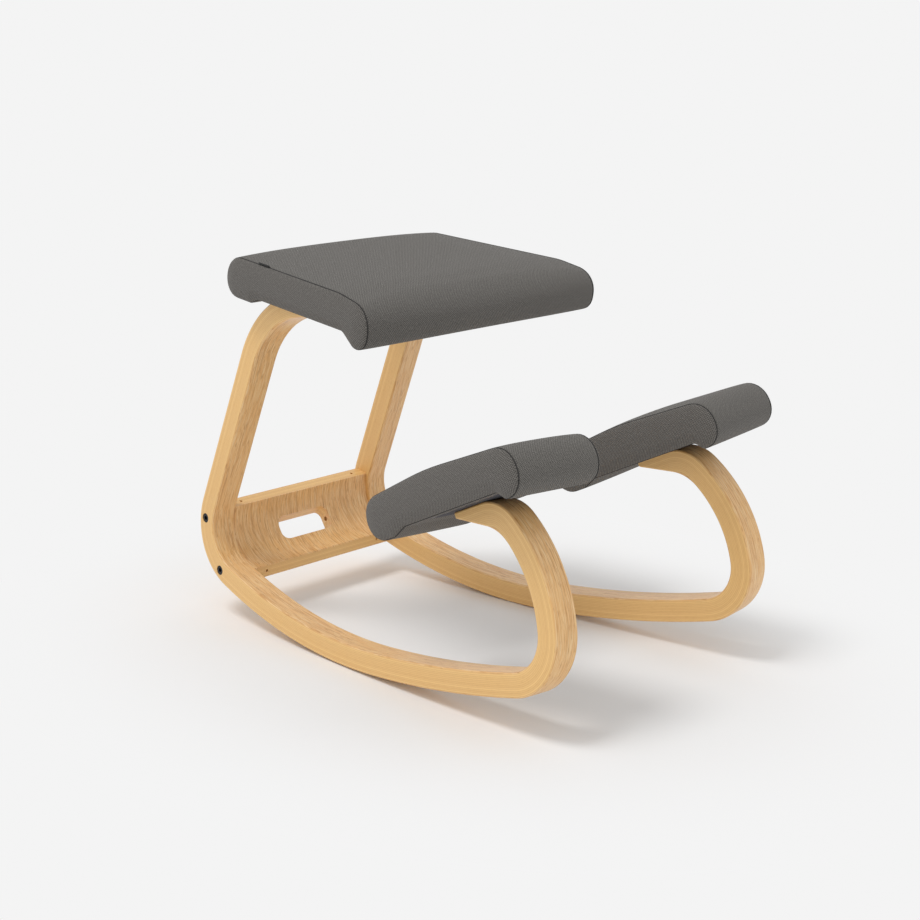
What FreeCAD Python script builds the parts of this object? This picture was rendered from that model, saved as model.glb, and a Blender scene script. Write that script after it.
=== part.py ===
import FreeCAD, Part
import math
import os

# Kneeling chair: two bent-wood rocking runners joined by a curved brace, which carry a seat
# cushion and two knee pads. Millimetres and degrees. +Z is up, the knee pads face -Y, and +X is
# the sitter's left. Each solid is one piece of the chair as it comes apart on a bench.

# Runner strip
strip_width = 37.4
strip_thick = 31.4
strip_edge_round = 3.0
splay = 4.24
hinge_heading = -54.5
brace_gap = 260.6

# Runner path along its outer surface, from the seat round the back to the knee pads
seat_heading = 4.95
seat_flat = 80.0
seat_bend_radius = 153.8
seat_bend_angle = 72.7
rear_leg_length = 240.9
heel_radius = 88.3
heel_angle = 92.4
rocker_rear_radius = 773.0
rocker_rear_angle = 24.5
rocker_front_radius = 1490.0
rocker_front_angle = 10.35
toe_radius = 84.0
toe_angle = 84.7
front_leg_radius = 191.7
front_leg_angle = 45.0
knee_bend_radius = 53.8
knee_bend_angle = 60.5
knee_flat = 49.3
seat_taper = 13.2
knee_taper = 23.0
knee_inner_radius = 55.0

# Brace between the heels
brace_thick = 19.0
brace_inset = 6.0
brace_top_angle = 17.4
brace_bottom_angle = -78.0
brace_edge_round = 1.5
slot_length = 96.0
slot_height = 34.0
slot_corner = 12.0
slot_tilt = -42.0
slot_offset = 14.1
edge_hole_radius = 2.2
edge_hole_setback = 22.0

# Brace fasteners
bolt_angles = (4.6, -58.0)
bolt_inset = 13.5
bolt_radius = 4.0
bolt_head_radius = 6.5
bolt_head_height = 8.0
bolt_head_sink = 0.6
bolt_hex_width = 6.0
bolt_hex_depth = 4.5
bolt_reach = 24.0
insert_radius = 6.0
insert_length = 26.0
dowel_radius = 3.5
dowel_angle = -30.0
dowel_in_runner = 12.0
dowel_in_brace = 36.0

# Board, lining and fasteners under each cushion
board_thick = 12.0
board_corner = 22.0
cloth_thick = 1.5
side_thick = 2.0
side_edge = 0.5
lap_width = 6.0
opening_inset = 3.0
screw_radius = 3.0
screw_head_radius = 5.0
screw_head_height = 4.0
screw_hex_width = 4.0
screw_hex_depth = 2.4
screw_seat = 7.0
nut_flange_radius = 9.5
nut_flange_thick = 1.5
nut_barrel_radius = 4.0
nut_barrel_length = 9.0

# Seat underside, which drops in front of the bends and behind them
skirt_drop = 18.0
bend_room = 11.0

# Clearances and allowances
slide_play = 0.1
head_play = 0.4
screw_short = 0.5
bore_start = 2.0
least_round = 1.5

# Blank tab that leans out of the seat's right side seam
tab_length = 23.0
tab_stand = 3.2
tab_root = 4.0
tab_thick = 1.2
tab_lean = 45.0
tab_place = 72.5


class Cushion:
    """Sizes of one cushion in its own frame: Y runs to the rear along the board, Z is square to
    the board, and zero is where the board's lower face rests on the wood."""

    def __init__(self, **sizes):
        self.__dict__.update(sizes)

    def half_width(self, y):
        """Half the width at y, which tapers from the front to the rear."""
        share = (y - self.front) / (self.rear - self.front)
        return self.front_half + (self.rear_half - self.front_half) * share

    def outline(self):
        """Corners of the side view as y, z, corner radius and how much the next edge swells."""
        return [
            (self.rear, self.rear_top, self.rear_top_round, 1),
            (self.rear, -self.rear_drop, self.rear_low_round, 0),
            (self.recess_rear + self.rear_step, -self.rear_drop, self.step_round, 0),
            (self.recess_rear, -self.skirt_drop, self.step_round, 0),
            (self.recess_front, -self.skirt_drop, self.step_round, 0),
            (self.recess_front - self.front_step, -self.front_drop, self.step_round, 0),
            (self.front + self.front_lean, -self.front_drop, self.front_low_round, 1),
            (self.front, self.front_top, self.front_top_round, 1),
            (self.crest, self.crest_top, self.crest_round, 1),
        ]

    def plan(self, side, front, rear):
        """Corners of a flat piece seen from above, set in from the cushion's sides and given
        its front and rear places."""
        return [
            (self.half_width(front) - side, front),
            (self.half_width(rear) - side, rear),
            (-self.half_width(rear) + side, rear),
            (-self.half_width(front) + side, front),
        ]


# The wood has dropped clear of the seat's underside this far behind the start of its bend
bend_reach = math.sqrt(skirt_drop * (2 * seat_bend_radius - skirt_drop))

seat = Cushion(
    front=-154.5, rear=158.0, front_half=215.5, rear_half=181.5,
    rear_top=30.4, crest=-91.0, crest_top=28.9, front_top=19.4,
    rear_drop=25.6, skirt_drop=skirt_drop, front_drop=34.6, front_lean=5.5,
    recess_rear=bend_reach + bend_room, recess_front=-101.0, rear_step=17.0, front_step=27.0,
    rear_top_round=30.0, rear_low_round=23.0, front_top_round=26.0, front_low_round=14.0,
    crest_round=120.0, step_round=12.0,
    swell=5.0, side_swell=2.5, side_ease=9.0,
    skirt_width=16.0, board_margin=9.0, board_front=-134.0, board_rear=132.0,
    screw_places=(-22.0, -58.0),
)

pad = Cushion(
    front=-175.0, rear=106.0, front_half=67.0, rear_half=67.0,
    rear_top=46.0, crest=-22.0, crest_top=55.0, front_top=46.5,
    rear_drop=9.5, skirt_drop=1.5, front_drop=12.5, front_lean=0.5,
    recess_rear=40.0, recess_front=-133.0, rear_step=22.0, front_step=15.0,
    rear_top_round=26.0, rear_low_round=26.0, front_top_round=30.0, front_low_round=20.0,
    crest_round=500.0, step_round=8.0,
    swell=3.5, side_swell=2.5, side_ease=9.0,
    skirt_width=16.0, board_margin=9.0, board_front=-150.0, board_rear=84.0,
    screw_places=(-13.0, -37.0),
)

UP = FreeCAD.Vector(0, 0, 1)
LATERAL = FreeCAD.Vector(1, 0, 0)
ORIGIN = FreeCAD.Vector(0, 0, 0)

# Cutting tools run this far, well clear of the chair or of one strip
FAR = 400.0
BORE_RUN = 50.0

# Places of a cushion's upright sections, as shares of its half width
SECTION_SHARES = (-1.0, -0.8, 0.0, 0.8, 1.0)
CROWN_POWER = 3


def cosd(angle):
    return math.cos(math.radians(angle))


def sind(angle):
    return math.sin(math.radians(angle))


def yz(y, z, x=0.0):
    return FreeCAD.Vector(x, y, z)


# Geometry helpers


def rounded_wire(corners, to_point):
    """Closed wire of lines and tangent arcs. Each corner is (a, b, radius), and to_point places
    the flat point (a, b) in space."""
    count = len(corners)
    flats = [FreeCAD.Vector(c[0], c[1], 0) for c in corners]
    starts, middles, ends = [], [], []
    for i in range(count):
        here = flats[i]
        back = (flats[i - 1] - here).normalize()
        ahead = (flats[(i + 1) % count] - here).normalize()
        half = back.getAngle(ahead) / 2
        reach = corners[i][2] / math.tan(half)
        bisector = (back + ahead).normalize()
        starts.append(here + back * reach)
        ends.append(here + ahead * reach)
        middles.append(here + bisector * (corners[i][2] / math.sin(half) - corners[i][2]))
    edges = []
    for i in range(count):
        a, m, b = (to_point(p[i].x, p[i].y) for p in (starts, middles, ends))
        edges.append(Part.Arc(a, m, b).toShape())
        following = starts[(i + 1) % count]
        edges.append(Part.LineSegment(b, to_point(following.x, following.y)).toShape())
    return Part.Wire(edges)


def moved_outline(corners, inset, swell):
    """The same corners with every edge moved in by inset, and the swelling edges moved out."""
    count = len(corners)
    lines = []
    for i in range(count):
        ya, za, _, soft = corners[i]
        yb, zb = corners[(i + 1) % count][:2]
        length = math.hypot(yb - ya, zb - za)
        normal_y, normal_z = -(zb - za) / length, (yb - ya) / length
        amount = inset - swell * soft
        lines.append((ya - normal_y * amount, za - normal_z * amount, yb - ya, zb - za))
    moved = []
    for i in range(count):
        y0, z0, dy0, dz0 = lines[i - 1]
        y1, z1, dy1, dz1 = lines[i]
        cross = dy0 * dz1 - dz0 * dy1
        along = ((y1 - y0) * dz1 - (z1 - z0) * dy1) / cross
        turn_before = corners[i][0] - corners[i - 1][0], corners[i][1] - corners[i - 1][1]
        after = corners[(i + 1) % count]
        turn_after = after[0] - corners[i][0], after[1] - corners[i][1]
        hollow = turn_before[0] * turn_after[1] - turn_before[1] * turn_after[0] > 0
        radius = max(corners[i][2] + (inset if hollow else -inset), least_round)
        moved.append((y0 + dy0 * along, z0 + dz0 * along, radius))
    return moved


def prism(points, low, high, corner):
    """Upright prism with rounded corners over a plan outline."""
    wire = rounded_wire([(x, y, corner) for x, y in points], lambda x, y: FreeCAD.Vector(x, y, low))
    return Part.Face(wire).extrude(UP * (high - low))


def cylinder(radius, length, base, direction):
    return Part.makeCylinder(radius, length, base, direction)


def hexagon(width, length, base, direction):
    """Six-sided prism with the given width across its flats."""
    corner = width / math.sqrt(3)
    points = [FreeCAD.Vector(corner * cosd(60 * k), corner * sind(60 * k), 0) for k in range(7)]
    solid = Part.Face(Part.makePolygon(points)).extrude(UP * length)
    solid.Placement = FreeCAD.Placement(base, FreeCAD.Rotation(UP, direction))
    return solid


def group(solids):
    """Several solids kept apart in one compound."""
    return Part.makeCompound([s for shape in solids for s in shape.Solids])


# Runner path


class Path:
    """Outer and inner surface of the bent strip as tangent lines and arcs in the runner's plane."""

    def __init__(self, y, z, heading):
        self.y, self.z, self.heading = y, z, heading
        self.outer, self.inner = [], []

    def inward(self, depth):
        return yz(self.y + depth * sind(self.heading), self.z - depth * cosd(self.heading))

    def line(self, length):
        starts = self.inward(0), self.inward(strip_thick)
        self.y += length * cosd(self.heading)
        self.z += length * sind(self.heading)
        self.outer.append(Part.LineSegment(starts[0], self.inward(0)).toShape())
        self.inner.append(Part.LineSegment(starts[1], self.inward(strip_thick)).toShape())

    def arc(self, radius, angle, skip=0.0, inner=True):
        """Bend of the strip. The inner surface leaves out skip degrees at the start, where a
        tapered run takes over, or is left out whole."""
        centre = self.inward(radius)
        self.outer.append(self.bend_edge(centre, radius, 0.0, angle))
        if inner:
            self.inner.append(self.bend_edge(centre, radius - strip_thick, skip, angle))
        self.heading -= angle
        end = centre + yz(-sind(self.heading), cosd(self.heading)) * radius
        self.y, self.z = end.y, end.z
        return centre

    def bend_edge(self, centre, radius, first, last):
        """Arc about a bend's centre between two turns away from the present heading."""
        turns = [self.heading - t for t in (first, (first + last) / 2, last)]
        return Part.Arc(*[centre + yz(-sind(t), cosd(t)) * radius for t in turns]).toShape()

    def ease_knee(self, leg_centre, leg_heading):
        """Inner surface of the front leg and the knee bend: the leg's arc, then one wide arc that
        meets both it and the tapered run at a tangent. Keeps how far along that run it ends."""
        slope = self.heading + knee_taper
        along, away = yz(cosd(slope), sind(slope)), yz(-sind(slope), cosd(slope))
        leg_inner = front_leg_radius - strip_thick
        touch = self.knee_centre + away * (knee_bend_radius - strip_thick)
        offset = touch - away * knee_inner_radius - leg_centre
        half = offset.dot(along)
        reach = leg_inner - knee_inner_radius
        self.knee_eased = -half - math.sqrt(half**2 - offset.dot(offset) + reach**2)
        spoke = offset + along * self.knee_eased
        start = self.heading - leg_heading
        turn = (leg_heading - math.degrees(math.atan2(-spoke.y, spoke.z))) % 360
        self.inner.append(self.bend_edge(leg_centre, leg_inner, start, start + turn))
        self.inner.append(
            self.bend_edge(leg_centre + spoke, knee_inner_radius, start + turn, -knee_taper)
        )


def trace_path():
    """Walks the strip's outer surface, and keeps the places that other pieces need."""
    path = Path(0.0, 0.0, seat_heading)
    path.seat_bend = path.inward(0)
    path.seat_centre = path.arc(seat_bend_radius, seat_bend_angle, skip=seat_taper)
    path.line(rear_leg_length)
    path.heel_centre = path.arc(heel_radius, heel_angle)
    path.arc(rocker_rear_radius, rocker_rear_angle)
    path.arc(rocker_front_radius, rocker_front_angle)
    path.arc(toe_radius, toe_angle)
    leg_heading = path.heading
    leg_centre = path.arc(front_leg_radius, front_leg_angle, inner=False)
    path.knee_centre = path.arc(knee_bend_radius, knee_bend_angle, inner=False)
    path.ease_knee(leg_centre, leg_heading)
    path.knee_bend = path.inward(0)
    path.knee_heading = path.heading
    path.knee_tip = path.knee_bend + yz(cosd(path.heading), sind(path.heading)) * knee_flat
    return path


def tapered_end(bend, centre, radius, heading, flat, taper, ahead, eased=0.0):
    """Edges of a strip's thinned end: the run along the board, the end face and the tapered
    under side, which leaves the inner bend at a tangent, or eased past it. ahead is +1 where the
    end lies in the direction of heading, and -1 where it lies behind."""
    slope = heading + taper * ahead
    inner = radius - strip_thick
    touch = centre + yz(-sind(slope), cosd(slope)) * inner
    run = (flat + inner * sind(taper)) / cosd(taper)
    tip = bend + yz(cosd(heading), sind(heading)) * flat * ahead
    along = yz(cosd(slope), sind(slope)) * ahead
    under_tip = touch + along * run
    touch = touch + along * eased
    ends = ((bend, tip), (tip, under_tip), (under_tip, touch))
    return [Part.LineSegment(a, b).toShape() for a, b in ends]


path = trace_path()


def flat_strip():
    """The bent strip in its own plane, from x = 0 at the inner face to strip_width."""
    edges = path.outer + path.inner
    edges += tapered_end(
        path.seat_bend, path.seat_centre, seat_bend_radius, seat_heading, seat_flat, seat_taper, -1
    )
    edges += tapered_end(
        path.knee_bend, path.knee_centre, knee_bend_radius, path.knee_heading, knee_flat,
        knee_taper, 1, path.knee_eased,
    )
    wire = Part.Wire(Part.__sortEdges__(edges))
    strip = Part.Face(wire).extrude(LATERAL * strip_width)
    long_edges = [
        e
        for e in strip.Edges
        if abs(e.Vertexes[0].X - e.Vertexes[-1].X) < 0.01 and e.Length > strip_thick / 2
    ]
    return strip.makeFillet(strip_edge_round, long_edges)


# Places in the chair


def place_left(shape):
    """Puts a shape from the runner's flat frame where the left runner stands."""
    placed = shape.copy()
    pivot = path.heel_centre + yz(heel_radius - brace_inset, 0)
    axis = yz(cosd(hinge_heading), sind(hinge_heading))
    placed.rotate(pivot, axis, -splay)
    placed.translate(LATERAL * brace_gap / 2)
    return placed


def polar(angle, radius, x=0.0):
    """Point at an angle about the heel's centre."""
    return path.heel_centre + yz(radius * cosd(angle), radius * sind(angle), x)


def both(shape):
    """Left and right copies of a shape given in the left place."""
    return shape, shape.mirror(ORIGIN, LATERAL)


def seat_place(shape):
    placed = shape.copy()
    placed.rotate(ORIGIN, LATERAL, seat_heading)
    placed.translate(path.seat_bend)
    return placed


def pad_place(shape):
    placed = shape.copy()
    placed.rotate(ORIGIN, LATERAL, path.knee_heading)
    placed.translate(path.knee_tip + LATERAL * strip_width / 2)
    return place_left(placed)


# Cushions


def section(cushion, inset, swell, share, reach):
    """One upright section of a cushion at a share of its half width, moved out by reach."""
    corners = moved_outline(cushion.outline(), inset, swell)

    def to_point(y, z):
        return FreeCAD.Vector(share * cushion.half_width(y) + reach, y, z)

    return rounded_wire(corners, to_point)


def body_of(cushion, inset):
    """The crowned body between the two side seams, drawn in from the outline by inset."""
    sections = []
    for share in SECTION_SHARES:
        swell = cushion.swell * (1 - abs(share) ** CROWN_POWER)
        sections.append(section(cushion, inset, swell, share, -side_thick * share))
    return Part.makeLoft(sections, True, False)


def side_panel(cushion, side):
    """Sewn end panel: a thin crowned plate over the whole side view."""
    steps = ((0.0, -side_thick), (side_edge, 0.0), (cushion.side_ease, cushion.side_swell))
    sections = [section(cushion, inset, 0.0, side, side * reach) for inset, reach in steps]
    return Part.makeLoft(sections, True, True)


def cushion_pieces(cushion, screw_points):
    """Board, foam, wrap panel, two side panels and lining in the cushion's own frame."""
    front = cushion.recess_front + opening_inset
    rear = cushion.recess_rear - opening_inset
    recess = cushion.plan(cushion.skirt_width, front, rear)
    lap = cushion.plan(cushion.skirt_width - lap_width, front - lap_width, rear + lap_width)
    board_plan = cushion.plan(cushion.board_margin, cushion.board_front, cushion.board_rear)
    top = cloth_thick + board_thick
    board = prism(board_plan, cloth_thick, top, board_corner)
    opening = prism(recess, -FAR, cloth_thick, board_corner)
    lining = prism(recess, 0, cloth_thick, board_corner)
    wall = [(x + cloth_thick * (1 if x > 0 else -1), y) for x, y in recess]
    wall = [(x, y + cloth_thick * (1 if y > 0 else -1)) for x, y in wall]

    foam = body_of(cushion, cloth_thick).cut(board)
    foam = foam.cut(prism(lap, 0, cloth_thick, board_corner))
    foam = foam.cut(prism(wall, -FAR, 0, board_corner))
    cover = body_of(cushion, 0.0).cut(opening).cut(board).cut(foam)
    for point in screw_points:
        flange = point + UP * (top - nut_flange_thick)
        lining = lining.cut(cylinder(screw_radius + slide_play, top, point, UP))
        board = board.cut(cylinder(nut_barrel_radius, top, point, UP))
        board = board.cut(cylinder(nut_flange_radius, nut_flange_thick, flange, UP))
    return {
        "board": board,
        "foam": foam,
        "cover": cover,
        "panel_left": side_panel(cushion, 1),
        "panel_right": side_panel(cushion, -1),
        "lining": lining,
    }


def seam_tab(cushion):
    """Plain tab that leans out of the top seam of a cushion's right side."""
    run = cushion.rear - cushion.front
    turn = math.degrees(math.atan((cushion.front_half - cushion.rear_half) / run))
    rise = (cushion.rear_top - cushion.crest_top) / (cushion.rear - cushion.crest)
    seam = FreeCAD.Vector(
        side_thick - cushion.half_width(tab_place),
        tab_place,
        cushion.crest_top + rise * (tab_place - cushion.crest),
    )
    corner = FreeCAD.Vector(-tab_stand, -tab_length / 2, -tab_thick / 2)
    tab = Part.makeBox(tab_root + tab_stand, tab_length, tab_thick, corner)
    tab.rotate(ORIGIN, FreeCAD.Vector(0, 1, 0), tab_lean)
    tab.rotate(ORIGIN, UP, -turn)
    tab.translate(seam)
    return tab


def screw(point, shank):
    """Socket screw that points up into the board, with its head below the wood's seat."""
    head = point - UP * (screw_seat + screw_head_height)
    solid = cylinder(screw_head_radius, screw_head_height, head, UP)
    solid = solid.fuse(cylinder(screw_radius, shank + screw_head_height, head, UP))
    return solid.cut(hexagon(screw_hex_width, screw_hex_depth, head, UP))


def screw_bore(point):
    """Clearance for a screw and its sunk head in the wood."""
    seat_face = point - UP * screw_seat
    head = cylinder(screw_head_radius + head_play, BORE_RUN, seat_face, -UP)
    return head.fuse(cylinder(screw_radius + slide_play, screw_seat * 2, seat_face, UP))


def tee_nut(point):
    """Flanged nut let into the board's upper face."""
    top = cloth_thick + board_thick
    flange = point + UP * (top - nut_flange_thick)
    barrel = point + UP * (top - nut_barrel_length)
    solid = cylinder(nut_flange_radius, nut_flange_thick, flange, UP)
    solid = solid.fuse(cylinder(nut_barrel_radius, nut_barrel_length, barrel, UP))
    return solid.cut(cylinder(screw_radius + slide_play, board_thick, barrel, UP))


def strip_lateral(y):
    """Distance of the left strip's middle from the chair's middle plane, for a place y in the
    seat's frame."""
    marker = Part.Vertex(path.seat_bend + yz(y * cosd(seat_heading), y * sind(seat_heading)))
    marker.translate(LATERAL * strip_width / 2)
    return place_left(marker).Point.x


# The chair

parts = {}
screw_length = screw_seat + cloth_thick + board_thick - screw_short

# Seat
left_points = [FreeCAD.Vector(strip_lateral(y), y, 0) for y in seat.screw_places]
seat_points = left_points + [FreeCAD.Vector(-p.x, p.y, 0) for p in left_points]
seat_shapes = cushion_pieces(seat, seat_points)
tab = seam_tab(seat)
for name in ("foam", "cover", "panel_right"):
    seat_shapes[name] = seat_shapes[name].cut(tab)
seat_shapes["tab"] = tab
seat_shapes["screws"] = group([screw(p, screw_length) for p in seat_points])
seat_shapes["tee_nuts"] = group([tee_nut(p) for p in seat_points])
for name, shape in seat_shapes.items():
    parts["seat_" + name] = seat_place(shape)

# Knee pads, mirrored
pad_points = [FreeCAD.Vector(0, y, 0) for y in pad.screw_places]
pad_shapes = cushion_pieces(pad, pad_points)
pad_shapes["screws"] = group([screw(p, screw_length) for p in pad_points])
pad_shapes["tee_nuts"] = group([tee_nut(p) for p in pad_points])
for name, shape in pad_shapes.items():
    left, right = both(pad_place(shape))
    label = {"panel_left": "outer_panel", "panel_right": "inner_panel"}.get(name, name)
    parts["left_pad_" + label] = left
    parts["right_pad_" + label] = right

# Runners
runner = place_left(flat_strip())
above_seat = Part.makeBox(FAR * 2, FAR, FAR, FreeCAD.Vector(-FAR, bend_reach - FAR, 0))
runner = runner.cut(seat_place(above_seat))
for point in left_points:
    runner = runner.cut(seat_place(screw_bore(point)))
for point in pad_points:
    runner = runner.cut(pad_place(screw_bore(point)))


# Brace
brace_outer = heel_radius - brace_inset
brace_inner = brace_outer - brace_thick
middle_angle = (brace_top_angle + brace_bottom_angle) / 2
rim = []
for radius in (brace_outer, brace_inner):
    ends = [polar(a, radius) for a in (brace_top_angle, middle_angle, brace_bottom_angle)]
    rim.append(Part.Arc(*ends).toShape())
for angle in (brace_top_angle, brace_bottom_angle):
    rim.append(Part.LineSegment(polar(angle, brace_outer), polar(angle, brace_inner)).toShape())
brace = Part.Face(Part.Wire(Part.__sortEdges__(rim))).extrude(LATERAL * brace_gap * 2)
brace.translate(-LATERAL * brace_gap)
corners = [e for e in brace.Edges if abs(e.Vertexes[0].X - e.Vertexes[-1].X) > brace_gap]
brace = brace.makeFillet(brace_edge_round, corners)
beyond = place_left(Part.makeBox(FAR, FAR * 2, FAR * 2, yz(-FAR, -FAR) + path.heel_centre))
for block in both(beyond):
    brace = brace.cut(block)

slot_axis = yz(cosd(slot_tilt), sind(slot_tilt))
slot_up = yz(-sind(slot_tilt), cosd(slot_tilt))
slot_middle = path.heel_centre + slot_up * slot_offset
half_length, half_height = slot_length / 2, slot_height / 2
slot_corners = [
    (half_length, half_height, slot_corner),
    (half_length, -half_height, slot_corner),
    (-half_length, -half_height, slot_corner),
    (-half_length, half_height, slot_corner),
]
slot_wire = rounded_wire(slot_corners, lambda x, z: slot_middle + LATERAL * x + slot_up * z)
brace = brace.cut(Part.Face(slot_wire).extrude(slot_axis * heel_radius * 2))

# Brace fasteners
bolts, inserts, dowels = [], [], []
for angle in bolt_angles:
    line = polar(angle, heel_radius - bolt_inset)
    head = line + LATERAL * (strip_width - bolt_head_sink - bolt_head_height)
    tip = line - LATERAL * bolt_reach
    shank = head.x - tip.x
    bolt = cylinder(bolt_head_radius, bolt_head_height, head, LATERAL)
    bolt = bolt.fuse(cylinder(bolt_radius, shank, tip, LATERAL))
    socket = head + LATERAL * (bolt_head_height - bolt_hex_depth)
    bolt = bolt.cut(hexagon(bolt_hex_width, bolt_hex_depth, socket, LATERAL))
    bolts.append(bolt)
    sleeve = cylinder(insert_radius, insert_length, line, -LATERAL)
    inserts.append(sleeve.cut(cylinder(bolt_radius + slide_play, insert_length, line, -LATERAL)))
    bore = cylinder(bolt_head_radius + head_play, BORE_RUN, head, LATERAL)
    bore = bore.fuse(cylinder(bolt_radius + slide_play, strip_width, line, LATERAL))
    runner = runner.cut(place_left(bore))
    for side_shape in both(place_left(cylinder(insert_radius, insert_length, line, -LATERAL))):
        brace = brace.cut(side_shape)

# Small holes in the brace's edges, down towards the inserts
brace_middle = brace_outer - brace_thick / 2
edge_places = ((brace_top_angle, bolt_angles[0], 1), (brace_bottom_angle, bolt_angles[1], -1))
for angle, bolt_angle, sense in edge_places:
    tangent = yz(sind(angle), -cosd(angle)) * sense
    depth = math.radians(abs(angle - bolt_angle)) * (heel_radius - bolt_inset) - insert_radius
    mouth = polar(angle, brace_middle, brace_gap / 2 - edge_hole_setback)
    hole = cylinder(edge_hole_radius, depth + bore_start, mouth - tangent * bore_start, tangent)
    for side_shape in both(hole):
        brace = brace.cut(side_shape)

# Locating dowels
dowel_line = polar(dowel_angle, brace_middle, brace_gap / 2)
dowel_start = dowel_line + LATERAL * dowel_in_runner
runner = runner.cut(cylinder(dowel_radius, dowel_in_runner * 2, dowel_start, -LATERAL))
for side_shape in both(cylinder(dowel_radius, brace_gap / 2, dowel_start, -LATERAL)):
    brace = brace.cut(side_shape)
dowel = cylinder(dowel_radius, dowel_in_runner + dowel_in_brace, dowel_start, -LATERAL)

parts["runner_left"], parts["runner_right"] = both(runner)
parts["cross_brace"] = brace
parts["brace_bolts"] = group(both(place_left(group(bolts))))
parts["brace_inserts"] = group(both(place_left(group(inserts))))
parts["brace_dowels"] = group(both(dowel))

# The chair's middle at floor level becomes the origin
whole = Part.makeCompound(list(parts.values()))
box = whole.optimalBoundingBox(False, False)
to_floor = FreeCAD.Vector(0, -(box.YMin + box.YMax) / 2, -box.ZMin)
os.makedirs("parts", exist_ok=True)
for name, shape in parts.items():
    shape.translate(to_floor)
    shape.exportStep(f"parts/{name}.step")
    solids = len(shape.Solids)
    print(name, "solids", solids, "valid", shape.isValid(), "volume", round(shape.Volume / 1000, 1))
print("origin moved by", [round(v, 2) for v in to_floor], "box before", box)
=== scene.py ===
import logging
import math
from collections.abc import Callable, Sequence
from dataclasses import dataclass
from enum import Enum
from typing import Any

import bmesh
import bpy
import numpy as np
from mathutils import Matrix, Vector


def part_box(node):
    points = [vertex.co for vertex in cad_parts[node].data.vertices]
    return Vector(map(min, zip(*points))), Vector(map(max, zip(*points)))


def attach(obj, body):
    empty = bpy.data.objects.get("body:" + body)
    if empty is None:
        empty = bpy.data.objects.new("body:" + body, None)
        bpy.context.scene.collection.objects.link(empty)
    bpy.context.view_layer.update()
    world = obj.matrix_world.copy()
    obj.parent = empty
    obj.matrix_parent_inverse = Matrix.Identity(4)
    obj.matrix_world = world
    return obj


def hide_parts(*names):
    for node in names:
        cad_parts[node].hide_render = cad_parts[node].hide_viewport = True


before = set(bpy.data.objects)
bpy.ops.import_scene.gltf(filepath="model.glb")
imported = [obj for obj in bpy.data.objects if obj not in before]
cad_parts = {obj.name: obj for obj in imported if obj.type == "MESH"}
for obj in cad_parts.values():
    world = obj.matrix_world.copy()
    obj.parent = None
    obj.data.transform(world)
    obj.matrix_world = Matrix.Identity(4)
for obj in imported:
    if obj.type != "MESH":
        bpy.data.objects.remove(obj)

# The kneeling chair's looks. Sizes are in millimetres until a mesh is made, in the frame of the
# construction model: +X is the sitter's left, the knee pads face -Y and +Z is up.

LOG = logging.getLogger("kneeling_chair")
MM = 0.001
ROOT = "root"
Value = float | int | bool | str | tuple | bpy.types.NodeSocket | bpy.types.ID | None
Solid = tuple[np.ndarray, list[list[int]]]
Station = tuple[float, float, float, float]


class Side(Enum):
    """The two halves of the chair, as the sign of X."""

    LEFT = 1
    RIGHT = -1


class Part(Enum):
    """The two kinds of panel that a cushion's case is sewn from."""

    WRAP = 0
    PANEL = 1


# Node building


@dataclass
class TreeMaker:
    """Adds nodes to one tree, from its inputs towards its outputs."""

    tree: bpy.types.NodeTree

    def add(self, kind: str, inputs: dict[str | int, Value] | None = None, **settings: Any) -> bpy.types.Node:
        """Adds one node.

        Args:
            kind: The node's type name.
            inputs: Values or sockets for its inputs, by name or place.
            settings: The node's own properties.

        Returns:
            The new node.
        """
        node = self.tree.nodes.new(kind)
        for name, value in settings.items():
            setattr(node, name, value)
        for key, value in (inputs or {}).items():
            if isinstance(key, int):
                socket = node.inputs[key]
            else:
                socket = next(s for s in node.inputs if s.name == key and s.enabled)
            if isinstance(value, bpy.types.NodeSocket):
                self.tree.links.new(value, socket)
            else:
                socket.default_value = value
        return node

    def math(self, operation: str, a: Value, b: Value = 0.0, c: Value = 0.0) -> bpy.types.NodeSocket:
        """Adds a Math node and returns its result."""
        node = self.add("ShaderNodeMath", {0: a, 1: b, 2: c}, operation=operation)
        return node.outputs[0]

    def ramp(self, value: Value, low: float, high: float, start: float = 0.0, end: float = 1.0) -> bpy.types.NodeSocket:
        """Maps low to high onto start to end, smoothly, and returns the result."""
        limits = {"Value": value, "From Min": low, "From Max": high, "To Min": start, "To Max": end}
        node = self.add("ShaderNodeMapRange", limits, interpolation_type="SMOOTHSTEP")
        return node.outputs["Result"]

    def blend(self, share: Value, first: Value, second: Value) -> bpy.types.NodeSocket:
        """Mixes two colours by share and returns the result."""
        node = self.tree.nodes.new("ShaderNodeMix")
        node.data_type = "RGBA"
        for index, value in ((0, share), (6, first), (7, second)):
            if isinstance(value, bpy.types.NodeSocket):
                self.tree.links.new(value, node.inputs[index])
            else:
                node.inputs[index].default_value = value
        return node.outputs[2]

    def noise(self, vector: Value, scale: float, detail: float = 2.0, roughness: float = 0.5) -> bpy.types.NodeSocket:
        """Adds a noise texture and returns its factor."""
        inputs = {"Vector": vector, "Scale": scale, "Detail": detail, "Roughness": roughness}
        return self.add("ShaderNodeTexNoise", inputs).outputs[0]


def linear(red: int, green: int, blue: int) -> tuple[float, float, float, float]:
    """Turns a display colour of 0 to 255 into the linear colour that a shader takes."""
    parts = []
    for value in (red, green, blue):
        share = value / 255
        parts.append(share / 12.92 if share <= 0.04045 else ((share + 0.055) / 1.055) ** 2.4)
    return (parts[0], parts[1], parts[2], 1.0)


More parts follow.
